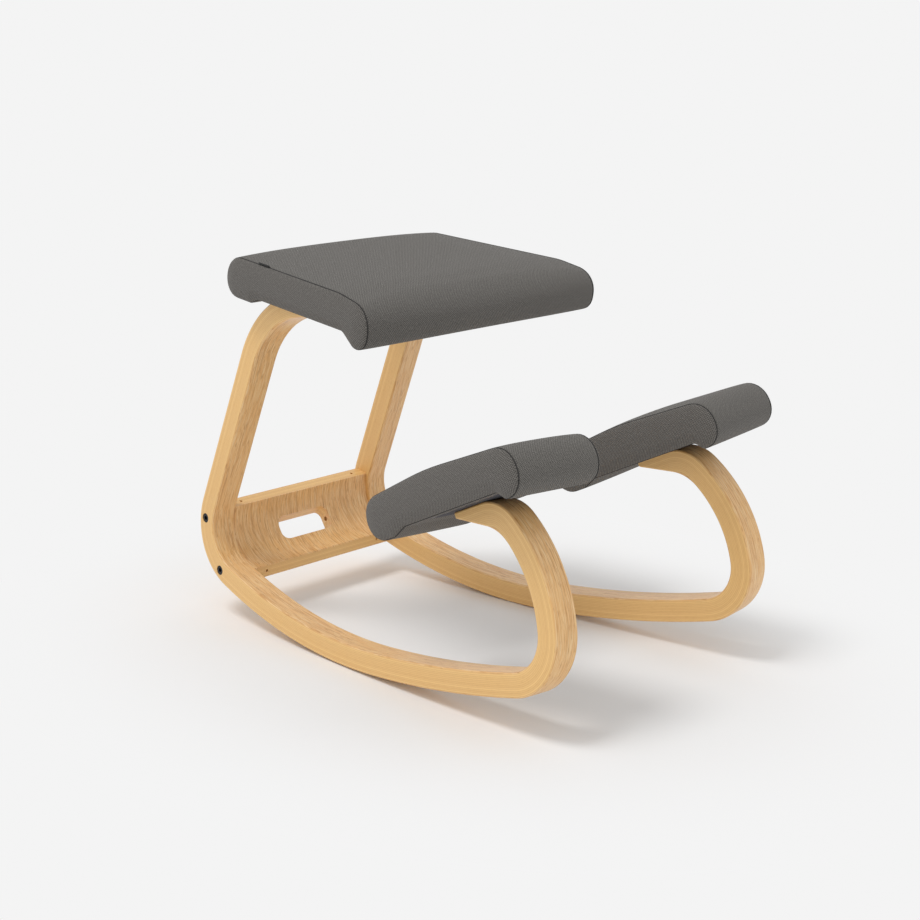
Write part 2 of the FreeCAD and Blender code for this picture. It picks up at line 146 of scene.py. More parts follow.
def new_group(
    name: str, kind: str, inputs: dict[str, tuple[str, Any]], outputs: dict[str, str]
) -> tuple[TreeMaker, bpy.types.Node, bpy.types.Node]:
    """Starts a node group.

    Args:
        name: The group's name.
        kind: ShaderNodeTree or GeometryNodeTree.
        inputs: Socket type and first value for each input's name.
        outputs: Socket type for each output's name.

    Returns:
        The maker, the group's input node and its output node.
    """
    tree = bpy.data.node_groups.new(name, kind)
    for label, (socket_type, value) in inputs.items():
        socket = tree.interface.new_socket(label, in_out="INPUT", socket_type=socket_type)
        if value is not None:
            socket.default_value = value
    for label, socket_type in outputs.items():
        tree.interface.new_socket(label, in_out="OUTPUT", socket_type=socket_type)
    maker = TreeMaker(tree)
    return maker, maker.add("NodeGroupInput"), maker.add("NodeGroupOutput")


# Shared shader groups


def veneer_group() -> bpy.types.NodeTree:
    """Bent laminated wood in straightened coordinates: run, place across and depth, in metres.

    Returns:
        A group that gives colour, roughness and height, with face grain on the outer and inner
        veneers and ply lines on every cut edge.
    """
    colour, number, vector = "NodeSocketColor", "NodeSocketFloat", "NodeSocketVector"
    inputs = {
        "Straight": (vector, None),
        "Thickness": (number, 0.0314),
        "Ply": (number, 0.00224),
        "Skin": (number, 0.0016),
        "Face": (colour, linear(234, 184, 119)),
        "Face Dark": (colour, linear(186, 126, 66)),
        "Face Pale": (colour, linear(245, 211, 158)),
        "Edge": (colour, linear(243, 201, 133)),
        "Edge Dark": (colour, linear(208, 154, 88)),
    }
    outputs = {"Color": colour, "Roughness": number, "Height": number}
    make, given, result = new_group("bent_veneer", "ShaderNodeTree", inputs, outputs)
    split = make.add("ShaderNodeSeparateXYZ", {0: given.outputs["Straight"]})
    run, across, depth = split.outputs
    skin = given.outputs["Skin"]

    far_depth = make.math("SUBTRACT", given.outputs["Thickness"], depth)
    nearest = make.math("MINIMUM", depth, far_depth)
    face = make.math("SUBTRACT", 1.0, make.ramp(make.math("DIVIDE", nearest, skin), 0.7, 1.3))

    def stretched(
        along: float, wide: float, deep: float, sideways: bpy.types.NodeSocket = across
    ) -> bpy.types.NodeSocket:
        """Coordinates scaled apart along the run, across the strip and into it."""
        parts = {
            0: make.math("MULTIPLY", run, along),
            1: make.math("MULTIPLY", sideways, wide),
            2: make.math("MULTIPLY", depth, deep),
        }
        return make.add("ShaderNodeCombineXYZ", parts).outputs[0]

    # Face grain: slow bands, fine streaks and short open pores
    wander = make.noise(stretched(5.0, 18.0, 3.0), 1.0, 2.0)
    shifted = make.math("MULTIPLY_ADD", wander, 0.02, across)
    bands = make.noise(stretched(6.0, 430.0, 40.0, shifted), 1.0, 3.0, 0.55)
    fine = make.noise(stretched(26.0, 800.0, 60.0, shifted), 1.0, 3.0, 0.6)
    pores = make.ramp(make.noise(stretched(60.0, 900.0, 200.0), 1.0, 1.0), 0.6, 0.7)
    dark_share = make.math("MULTIPLY", make.ramp(bands, 0.46, 0.66), 0.6)
    face_colour = make.blend(dark_share, given.outputs["Face"], given.outputs["Face Dark"])
    pale_share = make.math("MULTIPLY", make.ramp(fine, 0.46, 0.62), 0.85)
    face_colour = make.blend(pale_share, face_colour, given.outputs["Face Pale"])
    pore_share = make.math("MULTIPLY", pores, 0.75)
    face_colour = make.blend(pore_share, face_colour, given.outputs["Face Dark"])

    # Edges: one line for each glue joint, plies of slightly different tone, and short flecks
    count = make.math("DIVIDE", depth, given.outputs["Ply"])
    ply = make.math("FLOOR", make.math("ADD", count, 0.001))
    tone = make.add("ShaderNodeTexWhiteNoise", {"W": ply}, noise_dimensions="1D").outputs[0]
    across_ply = make.math("FRACT", make.math("ADD", count, 0.001))
    from_joint = make.math("ABSOLUTE", make.math("SUBTRACT", across_ply, 0.5))
    joint = make.ramp(from_joint, 0.36, 0.5)
    fleck = make.noise(stretched(110.0, 900.0, 1500.0), 1.0, 2.0)
    edge_share = make.math("MULTIPLY", tone, 0.30)
    edge_share = make.math("MULTIPLY_ADD", joint, 0.62, edge_share)
    edge_share = make.math("MULTIPLY_ADD", make.ramp(fleck, 0.5, 0.75), 0.25, edge_share)
    edge_colour = make.blend(edge_share, given.outputs["Edge"], given.outputs["Edge Dark"])

    colour_out = make.blend(face, edge_colour, face_colour)
    tint = make.noise(stretched(3.0, 9.0, 9.0), 1.0, 1.0)
    colour_out = make.blend(make.ramp(tint, 0.3, 0.8, 0.0, 0.16), colour_out, given.outputs["Edge Dark"])
    face_rough = make.ramp(fine, 0.3, 0.7, 0.34, 0.44)
    rough = make.math("ADD", make.math("MULTIPLY", make.math("SUBTRACT", 1.0, face), 0.08), face_rough)
    relief_face = make.math("SUBTRACT", make.math("MULTIPLY", fine, 0.35), pores)
    relief_edge = make.math("MULTIPLY", joint, -0.6)
    gap = make.math("SUBTRACT", relief_face, relief_edge)
    height = make.math("MULTIPLY_ADD", gap, face, relief_edge)
    for label, socket in (("Color", colour_out), ("Roughness", rough), ("Height", height)):
        make.tree.links.new(socket, result.inputs[label])
    return make.tree


def weave_group() -> bpy.types.NodeTree:
    """Pebbly plain weave in cloth coordinates, in metres.

    Returns:
        A group that gives the threads' height, how deep a point lies between them, which the cloths use to paint
        shade in the hollows, and a slow mottle for the yarn's uneven dye.
    """
    number, vector = "NodeSocketFloat", "NodeSocketVector"
    inputs = {"Cloth": (vector, None), "Pitch": (number, 0.0024), "Uneven": (number, 0.5)}
    outputs = {"Height": number, "Hollow": number, "Mottle": number}
    make, given, result = new_group("pebbly_weave", "ShaderNodeTree", inputs, outputs)
    wobble = make.noise(given.outputs["Cloth"], 170.0, 1.0)
    split = make.add("ShaderNodeSeparateXYZ", {0: given.outputs["Cloth"]})
    turn = make.math("DIVIDE", 2 * math.pi, given.outputs["Pitch"])
    phase = make.math("MULTIPLY", make.math("SUBTRACT", wobble, 0.5), given.outputs["Uneven"])
    warp = make.math("SINE", make.math("MULTIPLY_ADD", split.outputs[0], turn, make.math("MULTIPLY", phase, 6.0)))
    weft = make.math("SINE", make.math("MULTIPLY_ADD", split.outputs[1], turn, make.math("MULTIPLY", phase, -5.0)))
    knot = make.math("MULTIPLY_ADD", make.math("MULTIPLY", warp, weft), 0.5, 0.5)
    fuzz = make.noise(given.outputs["Cloth"], 1600.0, 2.0, 0.6)
    height = make.math("MULTIPLY_ADD", make.math("SUBTRACT", fuzz, 0.5), 0.6, knot)
    # Painted shade: how deep a point lies between the threads, used to darken the hollows as if shaded
    hollow = make.math("SUBTRACT", 1.0, make.ramp(height, 0.1, 0.7))
    mottle = make.noise(given.outputs["Cloth"], 420.0, 3.0, 0.6)
    for label, socket in (("Height", height), ("Hollow", hollow), ("Mottle", mottle)):
        make.tree.links.new(socket, result.inputs[label])
    return make.tree


GROUPS: dict[str, bpy.types.NodeTree] = {}


def shared_group(name: str, build: Callable[[], bpy.types.NodeTree]) -> bpy.types.NodeTree:
    """Gives a shader group, built the first time that it is asked for."""
    if name not in GROUPS:
        GROUPS[name] = build()
    return GROUPS[name]


# Finishes


def start_material(name: str) -> tuple[bpy.types.Material, TreeMaker, bpy.types.Node]:
    """Starts a material.

    Args:
        name: The material's name.

    Returns:
        The material, a maker for its tree and its Principled shader.
    """
    material = bpy.data.materials.new(name)
    material.use_nodes = True
    shader = material.node_tree.nodes["Principled BSDF"]
    return material, TreeMaker(material.node_tree), shader


@dataclass(frozen=True)
class BentVeneer:
    """Clear-lacquered bent laminated wood, for pieces that carry straightened coordinates."""

    name: str = "bent_veneer"
    thickness: float = 31.4
    ply: float = 2.243
    relief: float = 0.00006

    def make(self) -> bpy.types.Material:
        """Builds the material."""
        material, make, shader = start_material(self.name)
        straight = make.add("ShaderNodeAttribute", attribute_name="straight")
        grain = make.add("ShaderNodeGroup", node_tree=shared_group("veneer", veneer_group))
        grain.inputs["Thickness"].default_value = self.thickness * MM
        grain.inputs["Ply"].default_value = self.ply * MM
        links = material.node_tree.links
        links.new(straight.outputs["Vector"], grain.inputs["Straight"])
        links.new(grain.outputs["Color"], shader.inputs["Base Color"])
        links.new(grain.outputs["Roughness"], shader.inputs["Roughness"])
        bump = make.add("ShaderNodeBump", {"Strength": 0.6, "Distance": self.relief, "Height": grain.outputs["Height"]})
        links.new(bump.outputs["Normal"], shader.inputs["Normal"])
        shader.inputs["Coat Weight"].default_value = 0.18
        shader.inputs["Coat Roughness"].default_value = 0.28
        return material


@dataclass(frozen=True)
class SheetWood:
    """Bare wood of a board or dowel, on object coordinates."""

    name: str
    light: tuple[int, int, int] = (214, 178, 128)
    dark: tuple[int, int, int] = (184, 140, 92)
    stretch: tuple[float, float, float] = (4.0, 90.0, 300.0)

    def make(self) -> bpy.types.Material:
        """Builds the material."""
        material, make, shader = start_material(self.name)
        place = make.add("ShaderNodeTexCoord")
        scaled = make.add("ShaderNodeMapping", {"Vector": place.outputs["Object"], "Scale": self.stretch})
        grain = make.noise(scaled.outputs[0], 1.0, 4.0, 0.6)
        colour = make.blend(make.ramp(grain, 0.35, 0.7), linear(*self.light), linear(*self.dark))
        links = material.node_tree.links
        links.new(colour, shader.inputs["Base Color"])
        links.new(make.ramp(grain, 0.3, 0.7, 0.5, 0.68), shader.inputs["Roughness"])
        return material


@dataclass(frozen=True)
class Weave:
    """Woven cloth, on the UV map named cloth or on object coordinates, with painted shade in the hollows between its
    threads.
    """

    name: str
    colour: tuple[int, int, int]
    # Painted shade: the colour that the hollows between the threads are darkened to
    hollow: tuple[int, int, int]
    pale: tuple[int, int, int]
    pitch: float = 2.9
    relief: float = 0.0008
    roughness: float = 0.92
    sheen: float = 0.08
    mapped: bool = True

    def make(self) -> bpy.types.Material:
        """Builds the material."""
        material, make, shader = start_material(self.name)
        links = material.node_tree.links
        if self.mapped:
            place = make.add("ShaderNodeUVMap", uv_map="cloth").outputs["UV"]
        else:
            place = make.add("ShaderNodeTexCoord").outputs["Object"]
        weave = make.add("ShaderNodeGroup", node_tree=shared_group("weave", weave_group))
        weave.inputs["Pitch"].default_value = self.pitch * MM
        links.new(place, weave.inputs["Cloth"])
        colour = make.blend(make.ramp(weave.outputs["Mottle"], 0.35, 0.7), linear(*self.colour), linear(*self.pale))
        # Painted shade: the cloth darkens toward the hollow colour where it lies deep between threads
        colour = make.blend(make.math("MULTIPLY", weave.outputs["Hollow"], 0.9), colour, linear(*self.hollow))
        links.new(colour, shader.inputs["Base Color"])
        rough = make.ramp(weave.outputs["Mottle"], 0.2, 0.8, self.roughness - 0.06, self.roughness)
        links.new(rough, shader.inputs["Roughness"])
        bump = make.add("ShaderNodeBump", {"Strength": 0.8, "Distance": self.relief, "Height": weave.outputs["Height"]})
        links.new(bump.outputs["Normal"], shader.inputs["Normal"])
        shader.inputs["Sheen Weight"].default_value = self.sheen
        shader.inputs["Sheen Roughness"].default_value = 0.5
        return material


@dataclass(frozen=True)
class Steel:
    """Steel with fine turning marks and a little wear, on object coordinates."""

    name: str
    colour: tuple[int, int, int]
    worn: tuple[int, int, int]
    metallic: float
    roughness: float

    def make(self) -> bpy.types.Material:
        """Builds the material."""
        material, make, shader = start_material(self.name)
        place = make.add("ShaderNodeTexCoord").outputs["Object"]
        fine = make.noise(place, 900.0, 2.0)
        broad = make.noise(place, 120.0, 3.0)
        links = material.node_tree.links
        share = make.math("MULTIPLY", make.ramp(broad, 0.5, 0.8), 0.5)
        links.new(make.blend(share, linear(*self.colour), linear(*self.worn)), shader.inputs["Base Color"])
        links.new(make.ramp(fine, 0.3, 0.7, self.roughness - 0.06, self.roughness + 0.08), shader.inputs["Roughness"])
        bump = make.add("ShaderNodeBump", {"Strength": 0.3, "Distance": 0.00004, "Height": fine})
        links.new(bump.outputs["Normal"], shader.inputs["Normal"])
        shader.inputs["Metallic"].default_value = self.metallic
        return material


# Meshes


def new_mesh_object(name: str, points: np.ndarray, faces: Sequence[Sequence[int]]) -> bpy.types.Object:
    """Makes a mesh object from points in metres.

    Args:
        name: The object's name.
        points: One row of x, y and z for each vertex.
        faces: Vertex numbers of each face.

    Returns:
        The object, linked to the scene.
    """
    mesh = bpy.data.meshes.new(name)
    mesh.from_pydata(points.tolist(), [], [list(f) for f in faces])
    mesh.update()
    piece = bpy.data.objects.new(name, mesh)
    bpy.context.scene.collection.objects.link(piece)
    return piece


def settled(piece: bpy.types.Object) -> bpy.types.Object:
    """Applies every modifier, so that the piece is a plain mesh."""
    graph = bpy.context.evaluated_depsgraph_get()
    mesh = bpy.data.meshes.new_from_object(piece.evaluated_get(graph), depsgraph=graph)
    old = piece.data
    piece.modifiers.clear()
    if isinstance(old, bpy.types.Mesh):
        piece.data = mesh
        bpy.data.meshes.remove(old)
    mesh.name = piece.name
    return piece


def outward(piece: bpy.types.Object) -> None:
    """Merges doubles and turns every face outwards."""
    shape = bmesh.new()
    shape.from_mesh(piece.data)
    bmesh.ops.remove_doubles(shape, verts=shape.verts, dist=1e-6)
    bmesh.ops.recalc_face_normals(shape, faces=shape.faces)
    shape.to_mesh(piece.data)
    shape.free()


def line_object(name: str, points: Sequence[Vector], edges: Sequence[tuple[int, int]]) -> bpy.types.Object:
    """Makes an object of points in metres and the edges between them, with no faces."""
    mesh = bpy.data.meshes.new(name)
    mesh.from_pydata(points, edges, [])
    piece = bpy.data.objects.new(name, mesh)
    bpy.context.scene.collection.objects.link(piece)
    return piece


def write_attribute(mesh: bpy.types.Mesh, name: str, values: Sequence[Any]) -> None:
    """Stores a number or a vector on every point of a mesh."""
    flat = np.array(values, dtype=np.float32)
    kind, key = ("FLOAT", "value") if flat.ndim == 1 else ("FLOAT_VECTOR", "vector")
    mesh.attributes.new(name, kind, "POINT").data.foreach_set(key, flat.ravel())


def smooth(piece: bpy.types.Object, angle: float) -> None:
    """Shades a piece smooth, with edges over the angle kept sharp and flat faces kept flat."""
    piece.data.shade_smooth()
    piece.data.set_sharp_from_angle(angle=math.radians(angle))
    weighted = piece.modifiers.new("flat_faces", "WEIGHTED_NORMAL")
    weighted.keep_sharp = True
    settled(piece)


def prism_faces(sides: int) -> list[list[int]]:
    """Faces of a prism whose two ends follow each other in its points."""
    faces = [[k, (k + 1) % sides, sides + (k + 1) % sides, sides + k] for k in range(sides)]
    return faces + [list(reversed(range(sides))), list(range(sides, 2 * sides))]


def tube(start: Vector, direction: Vector, length: float, radius: float, sides: int = 40) -> Solid:
    """Round solid between two places.

    Args:
        start: Centre of the first end, in millimetres.
        direction: Which way it runs.
        length: How long it is.
        radius: Its radius.
        sides: Number of flat sides.

    Returns:
        Its points in metres and its faces.
    """
    forward = direction.normalized()
    first = forward.orthogonal().normalized()
    second = forward.cross(first)
    points = []
    for end in (start, start + forward * length):
        for k in range(sides):
            turn = 2 * math.pi * k / sides
            points.append((end + (first * math.cos(turn) + second * math.sin(turn)) * radius) * MM)
    return np.array(points), prism_faces(sides)


def joined(name: str, solids: Sequence[Solid]) -> bpy.types.Object:
    """Makes one object of several closed solids."""
    points, faces, base = [], [], 0
    for part, part_faces in solids:
        points.append(part)
        faces += [[i + base for i in face] for face in part_faces]
        base += len(part)
    piece = new_mesh_object(name, np.vstack(points), faces)
    outward(piece)
    return piece


# Geometry Nodes trees


def named(make: TreeMaker, name: str, data_type: str) -> bpy.types.NodeSocket:
    """Reads a named attribute inside a Geometry Nodes tree."""
    node = make.add("GeometryNodeInputNamedAttribute", {"Name": name}, data_type=data_type)
    return node.outputs["Attribute"]


def stored(make: TreeMaker, geometry: Value, name: str, value: Value, data_type: str) -> bpy.types.NodeSocket:
    """Stores a value on every point inside a Geometry Nodes tree."""
    inputs = {"Geometry": geometry, "Name": name, "Value": value}
    node = make.add("GeometryNodeStoreNamedAttribute", inputs, data_type=data_type, domain="POINT")
    return node.outputs[0]


def strip_tree() -> bpy.types.NodeTree:
    """Laminated strip along a rail, with a rounded section, thinned ends and bored holes.

    Returns:
        A tree that takes a rail of points with the attributes run, thin, rail, across and inward.
    """
    number, solid, cutter = "NodeSocketFloat", "NodeSocketGeometry", "NodeSocketObject"
    inputs = {
        "Geometry": (solid, None),
        "Width": (number, 0.0374),
        "Thickness": (number, 0.0314),
        "Edge Round": (number, 0.003),
        "Cutters": (cutter, None),
        "Small Cutters": (cutter, None),
        "Wood": ("NodeSocketMaterial", None),
    }
    make, given, result = new_group("laminated_strip", "GeometryNodeTree", inputs, {"Geometry": solid})
    thickness = given.outputs["Thickness"]
    square = make.add("GeometryNodeCurvePrimitiveQuadrilateral", {"Width": given.outputs["Width"], "Height": thickness})
    rounding = {"Curve": square.outputs[0], "Radius": given.outputs["Edge Round"]}
    section = make.add("GeometryNodeFilletCurve", rounding, mode="POLY")
    section.inputs["Count"].default_value = 5
    at = make.add("ShaderNodeSeparateXYZ", {0: make.add("GeometryNodeInputPosition").outputs[0]})
    deep = make.math("MULTIPLY_ADD", thickness, 0.5, at.outputs[1])
    profile = stored(make, section.outputs[0], "sideways", at.outputs[0], "FLOAT")
    profile = stored(make, profile, "deep", deep, "FLOAT")
    rail = make.add("GeometryNodeMeshToCurve", {"Mesh": given.outputs["Geometry"]})
    sweep = make.add("GeometryNodeCurveToMesh", {"Curve": rail.outputs[0], "Profile Curve": profile, "Fill Caps": True})

    depth, sideways = named(make, "deep", "FLOAT"), named(make, "sideways", "FLOAT")
    inner = make.math("GREATER_THAN", depth, make.math("MULTIPLY", thickness, 0.5))
    thinner = make.math("SUBTRACT", thickness, named(make, "thin", "FLOAT"))
    depth = make.math("SUBTRACT", depth, make.math("MULTIPLY", inner, thinner))

    def scaled(vector: bpy.types.NodeSocket, amount: bpy.types.NodeSocket) -> bpy.types.NodeSocket:
        """A vector times an amount."""
        node = make.add("ShaderNodeVectorMath", {0: vector, 3: amount}, operation="SCALE")
        return node.outputs[0]

    def summed(a: bpy.types.NodeSocket, b: bpy.types.NodeSocket) -> bpy.types.NodeSocket:
        """Two vectors added."""
        return make.add("ShaderNodeVectorMath", {0: a, 1: b}, operation="ADD").outputs[0]

    place = summed(named(make, "rail", "FLOAT_VECTOR"), scaled(named(make, "across", "FLOAT_VECTOR"), sideways))
    place = summed(place, scaled(named(make, "inward", "FLOAT_VECTOR"), depth))
    straight = make.add("ShaderNodeCombineXYZ", {0: named(make, "run", "FLOAT"), 1: sideways, 2: depth})
    body = stored(make, sweep.outputs[0], "straight", straight.outputs[0], "FLOAT_VECTOR")
    body = make.add("GeometryNodeSetPosition", {"Geometry": body, "Position": place}).outputs[0]

    bored = make.add("GeometryNodeMeshBoolean", {"Mesh 1": body}, operation="DIFFERENCE", solver="EXACT")
    for label in ("Small Cutters", "Cutters"):
        tool = make.add("GeometryNodeObjectInfo", {"Object": given.outputs[label]})
        make.tree.links.new(tool.outputs["Geometry"], bored.inputs["Mesh 2"])
    nearest = make.add(
        "GeometryNodeSampleNearestSurface",
        {"Mesh": body, "Value": named(make, "straight", "FLOAT_VECTOR")},
        data_type="FLOAT_VECTOR",
    )
    body = stored(make, bored.outputs[0], "straight", nearest.outputs["Value"], "FLOAT_VECTOR")
    body = make.add("GeometryNodeRealizeInstances", {"Geometry": body}).outputs[0]
    body = make.add("GeometryNodeSetMaterial", {"Geometry": body, "Material": given.outputs["Wood"]}).outputs[0]
    make.tree.links.new(body, result.inputs[0])
    return make.tree


def seam_tree() -> bpy.types.NodeTree:
    """Sewing thread along a seam: a thin dark cord in the crease, which also paints the crease's shade, and a row of
    stitches along it.

    Returns:
        A tree that takes a closed line of points.
    """
    number, solid = "NodeSocketFloat", "NodeSocketGeometry"
    inputs = {
        "Geometry": (solid, None),
        "Cord Radius": (number, 0.0008),
        "Stitch Pitch": (number, 0.0036),
        "Stitch Length": (number, 0.0024),
        "Stitch Radius": (number, 0.00035),
        "Thread": ("NodeSocketMaterial", None),
    }
    make, given, result = new_group("sewn_seam", "GeometryNodeTree", inputs, {"Geometry": solid})
    line = make.add("GeometryNodeMeshToCurve", {"Mesh": given.outputs["Geometry"]}).outputs[0]
    ring = make.add("GeometryNodeCurvePrimitiveCircle", {"Resolution": 6, "Radius": given.outputs["Cord Radius"]})
    cord = make.add("GeometryNodeCurveToMesh", {"Curve": line, "Profile Curve": ring.outputs[0]})
    places = make.add("GeometryNodeCurveToPoints", {"Curve": line}, mode="LENGTH")
    make.tree.links.new(given.outputs["Stitch Pitch"], next(s for s in places.inputs if s.name == "Length"))
    stitch = make.add(
        "GeometryNodeMeshCylinder",
        {"Vertices": 6, "Radius": given.outputs["Stitch Radius"], "Depth": given.outputs["Stitch Length"]},
    )
    turned = make.add("FunctionNodeAlignRotationToVector", {"Vector": places.outputs["Tangent"]}, axis="Z")
    stitches = make.add(
        "GeometryNodeInstanceOnPoints",
        {"Points": places.outputs["Points"], "Instance": stitch.outputs["Mesh"], "Rotation": turned.outputs[0]},
    )
    both = make.add("GeometryNodeJoinGeometry")
    make.tree.links.new(cord.outputs[0], both.inputs[0])
    make.tree.links.new(stitches.outputs[0], both.inputs[0])
    real = make.add("GeometryNodeRealizeInstances", {"Geometry": both.outputs[0]})
    done = make.add("GeometryNodeSetMaterial", {"Geometry": real.outputs[0], "Material": given.outputs["Thread"]})
    make.tree.links.new(done.outputs[0], result.inputs[0])
    return make.tree


def staple_tree() -> bpy.types.NodeTree:
    """Upholstery staples round the edge of a lining.

    Returns:
        A tree that takes the staples' places as points, each with its normal and tangent.
    """
    number, solid = "NodeSocketFloat", "NodeSocketGeometry"
    inputs = {
        "Geometry": (solid, None),
        "Crown": (number, 0.010),
        "Wire": (number, 0.0009),
        "Skew": (number, 0.12),
        "Seed": ("NodeSocketInt", 7),
        "Steel": ("NodeSocketMaterial", None),
    }
    make, given, result = new_group("staple_row", "GeometryNodeTree", inputs, {"Geometry": solid})
    wire = given.outputs["Wire"]
    size = make.add("ShaderNodeCombineXYZ", {0: given.outputs["Crown"], 1: wire, 2: wire})
    crown = make.add("GeometryNodeMeshCube", {"Size": size.outputs[0]})
    axes = {0: named(make, "normal", "FLOAT_VECTOR"), 1: named(make, "along", "FLOAT_VECTOR")}
    first = make.add("FunctionNodeAxesToRotation", axes, primary_axis="Z", secondary_axis="X")
    swing = make.add("FunctionNodeRandomValue", {"Seed": given.outputs["Seed"]}, data_type="FLOAT")
    limits = [s for s in swing.inputs if s.enabled and s.name in ("Min", "Max")]
    make.tree.links.new(make.math("MULTIPLY", given.outputs["Skew"], -1.0), limits[0])
    make.tree.links.new(given.outputs["Skew"], limits[1])
    angle = make.add("ShaderNodeCombineXYZ", {2: next(s for s in swing.outputs if s.enabled)})
    spin = make.add("FunctionNodeRotateRotation", {0: first.outputs[0], 1: angle.outputs[0]}, rotation_space="LOCAL")
    placed = {"Points": given.outputs["Geometry"], "Instance": crown.outputs[0], "Rotation": spin.outputs[0]}
    row = make.add("GeometryNodeInstanceOnPoints", placed)
    real = make.add("GeometryNodeRealizeInstances", {"Geometry": row.outputs[0]})
    done = make.add("GeometryNodeSetMaterial", {"Geometry": real.outputs[0], "Material": given.outputs["Steel"]})
    make.tree.links.new(done.outputs[0], result.inputs[0])
    return make.tree


def run_tree(piece: bpy.types.Object, tree: bpy.types.NodeTree, values: dict[str, Any]) -> bpy.types.Object:
    """Puts a piece through a Geometry Nodes tree and keeps the result as a plain mesh.

    Args:
        piece: The object that the tree starts from.
        tree: The tree.
        values: Values for the tree's inputs, by name.

    Returns:
        The same object.
    """
    modifier = piece.modifiers.new("shape", "NODES")
    modifier.node_group = tree
    for item in tree.interface.items_tree:
        if item.item_type == "SOCKET" and item.in_out == "INPUT" and item.name in values:
            modifier[item.identifier] = values[item.name]
    return settled(piece)


# Bent wood


@dataclass
class Rail:
    """Places along a strip's outer surface, in the runner's flat frame."""

    y: float
    z: float
    heading: float
    run: float = 0.0
    step: float = 6.0
    finest: float = 3.0

    def __post_init__(self) -> None:
        """Starts with the first place."""
        self.stations: list[Station] = []
        self.note()

    def note(self) -> None:
        """Keeps the present place as run, y, z and heading."""
        self.stations.append((self.run, self.y, self.z, self.heading))

    def line(self, length: float) -> None:
        """Goes straight on."""
        count = max(1, round(length / (2 * self.step)))
        turn = math.radians(self.heading)
        for _ in range(count):
            self.y += length / count * math.cos(turn)
            self.z += length / count * math.sin(turn)
            self.run += length / count
            self.note()

    def bend(self, radius: float, angle: float) -> None:
        """Turns through an angle about a centre on the inner side."""
        count = math.ceil(max(math.radians(angle) * radius / self.step, angle / self.finest))
        start = math.radians(self.heading)
        centre = (self.y + radius * math.sin(start), self.z - radius * math.cos(start))
        for _ in range(count):
            self.heading -= angle / count
            self.run += math.radians(angle / count) * radius
            turn = math.radians(self.heading)
            self.y = centre[0] - radius * math.sin(turn)
            self.z = centre[1] + radius * math.cos(turn)
            self.note()


@dataclass(frozen=True)
class RunnerSizes:
    """Sizes of a bent runner, the same as the construction model's."""

    width: float = 37.4
    thickness: float = 31.4
    edge_round: float = 3.0
    splay: float = 4.24
    hinge_heading: float = -54.5
    hinge_inset: float = 6.0
    brace_gap: float = 260.6
    seat_heading: float = 4.95
    seat_flat: float = 80.0
    seat_bend: tuple[float, float] = (153.8, 72.7)
    rear_leg: float = 240.9
    bends: tuple[tuple[float, float], ...] = (
        (88.3, 92.4),
        (773.0, 24.5),
        (1490.0, 10.35),
        (84.0, 84.7),
        (191.7, 45.0),
        (53.8, 60.5),
    )
    knee_flat: float = 49.3
    seat_taper: float = 13.2
    knee_taper: float = 23.0
    knee_inner_radius: float = 55.0
    thickest_share: float = 1.1
    bolt_angles: tuple[float, float] = (4.6, -58.0)
    bolt_inset: float = 13.5
    bolt_bore: float = 6.9
    bolt_sink: float = 8.6
    bore_length: float = 40.0
    screw_bore: float = 5.4
    screw_seat: float = 7.0
    seat_screws: tuple[float, float] = (-22.0, -58.0)
    pad_screws: tuple[float, float] = (-13.0, -37.0)


def end_thickness(thickness: float, radius: float, taper: float, past: float) -> float:
    """Thickness near a strip's thinned end.

    Args:
        thickness: The strip's full thickness.
        radius: Outer radius of the bend before the end.
        taper: Angle between the end's two faces.
        past: Distance along the outer surface past the bend, negative inside it.

    Returns:
        The thickness there.
    """
    inner = radius - thickness
    slope = math.radians(taper)
    if past >= 0:
        return radius - (inner + past * math.sin(slope)) / math.cos(slope)
    turn = -past / radius
    return radius - inner / math.cos(slope - turn) if turn < slope else thickness


def normal_at(heading: float) -> Vector:
    """Direction away from a strip's inner side, in the plane of Y and Z."""
    turn = math.radians(heading)
    return Vector((-math.sin(turn), math.cos(turn)))


@dataclass(frozen=True)
class EasedBend:
    """Wide inner arc of the knee, between the front leg's inner arc and the tapered run."""

    centre: Vector
    radius: float
    first: float
    last: float

    @classmethod
    def between(
        cls, leg: Vector, leg_inner: float, knee: Vector, knee_inner: float, slope: float, radius: float
    ) -> "EasedBend":
        """Finds the arc that touches both.

        Args:
            leg: Centre of the front leg's bend.
            leg_inner: Its inner radius.
            knee: Centre of the knee's bend.
            knee_inner: Its inner radius, where the tapered run would touch it.
            slope: Heading of the tapered run.
            radius: The wide arc's radius.

        Returns:
            The arc.
        """
        away = normal_at(slope)
        along = Vector((away.y, -away.x))
        offset = knee + away * (knee_inner - radius) - leg
        half, reach = offset.dot(along), leg_inner - radius
        eased = -half - math.sqrt(half**2 - offset.length_squared + reach**2)
        spoke = offset + along * eased
        return cls(leg + spoke, radius, slope, math.degrees(math.atan2(-spoke.x, spoke.y)))

    def depth(self, y: float, z: float, heading: float) -> float | None:
        """Depth of the arc under a place on the outer surface, or None where it isn't under it."""
        inward = -normal_at(heading)
        offset = Vector((y, z)) - self.centre
        along = offset.dot(inward)
        chord = along**2 - offset.length_squared + self.radius**2
        if chord <= 0:
            return None
        depth = -along - math.sqrt(chord)
        spoke = offset + inward * depth
        turn = math.degrees(math.atan2(-spoke.x, spoke.y))
        return depth if (turn - self.first) % 360 <= (self.last - self.first) % 360 else None


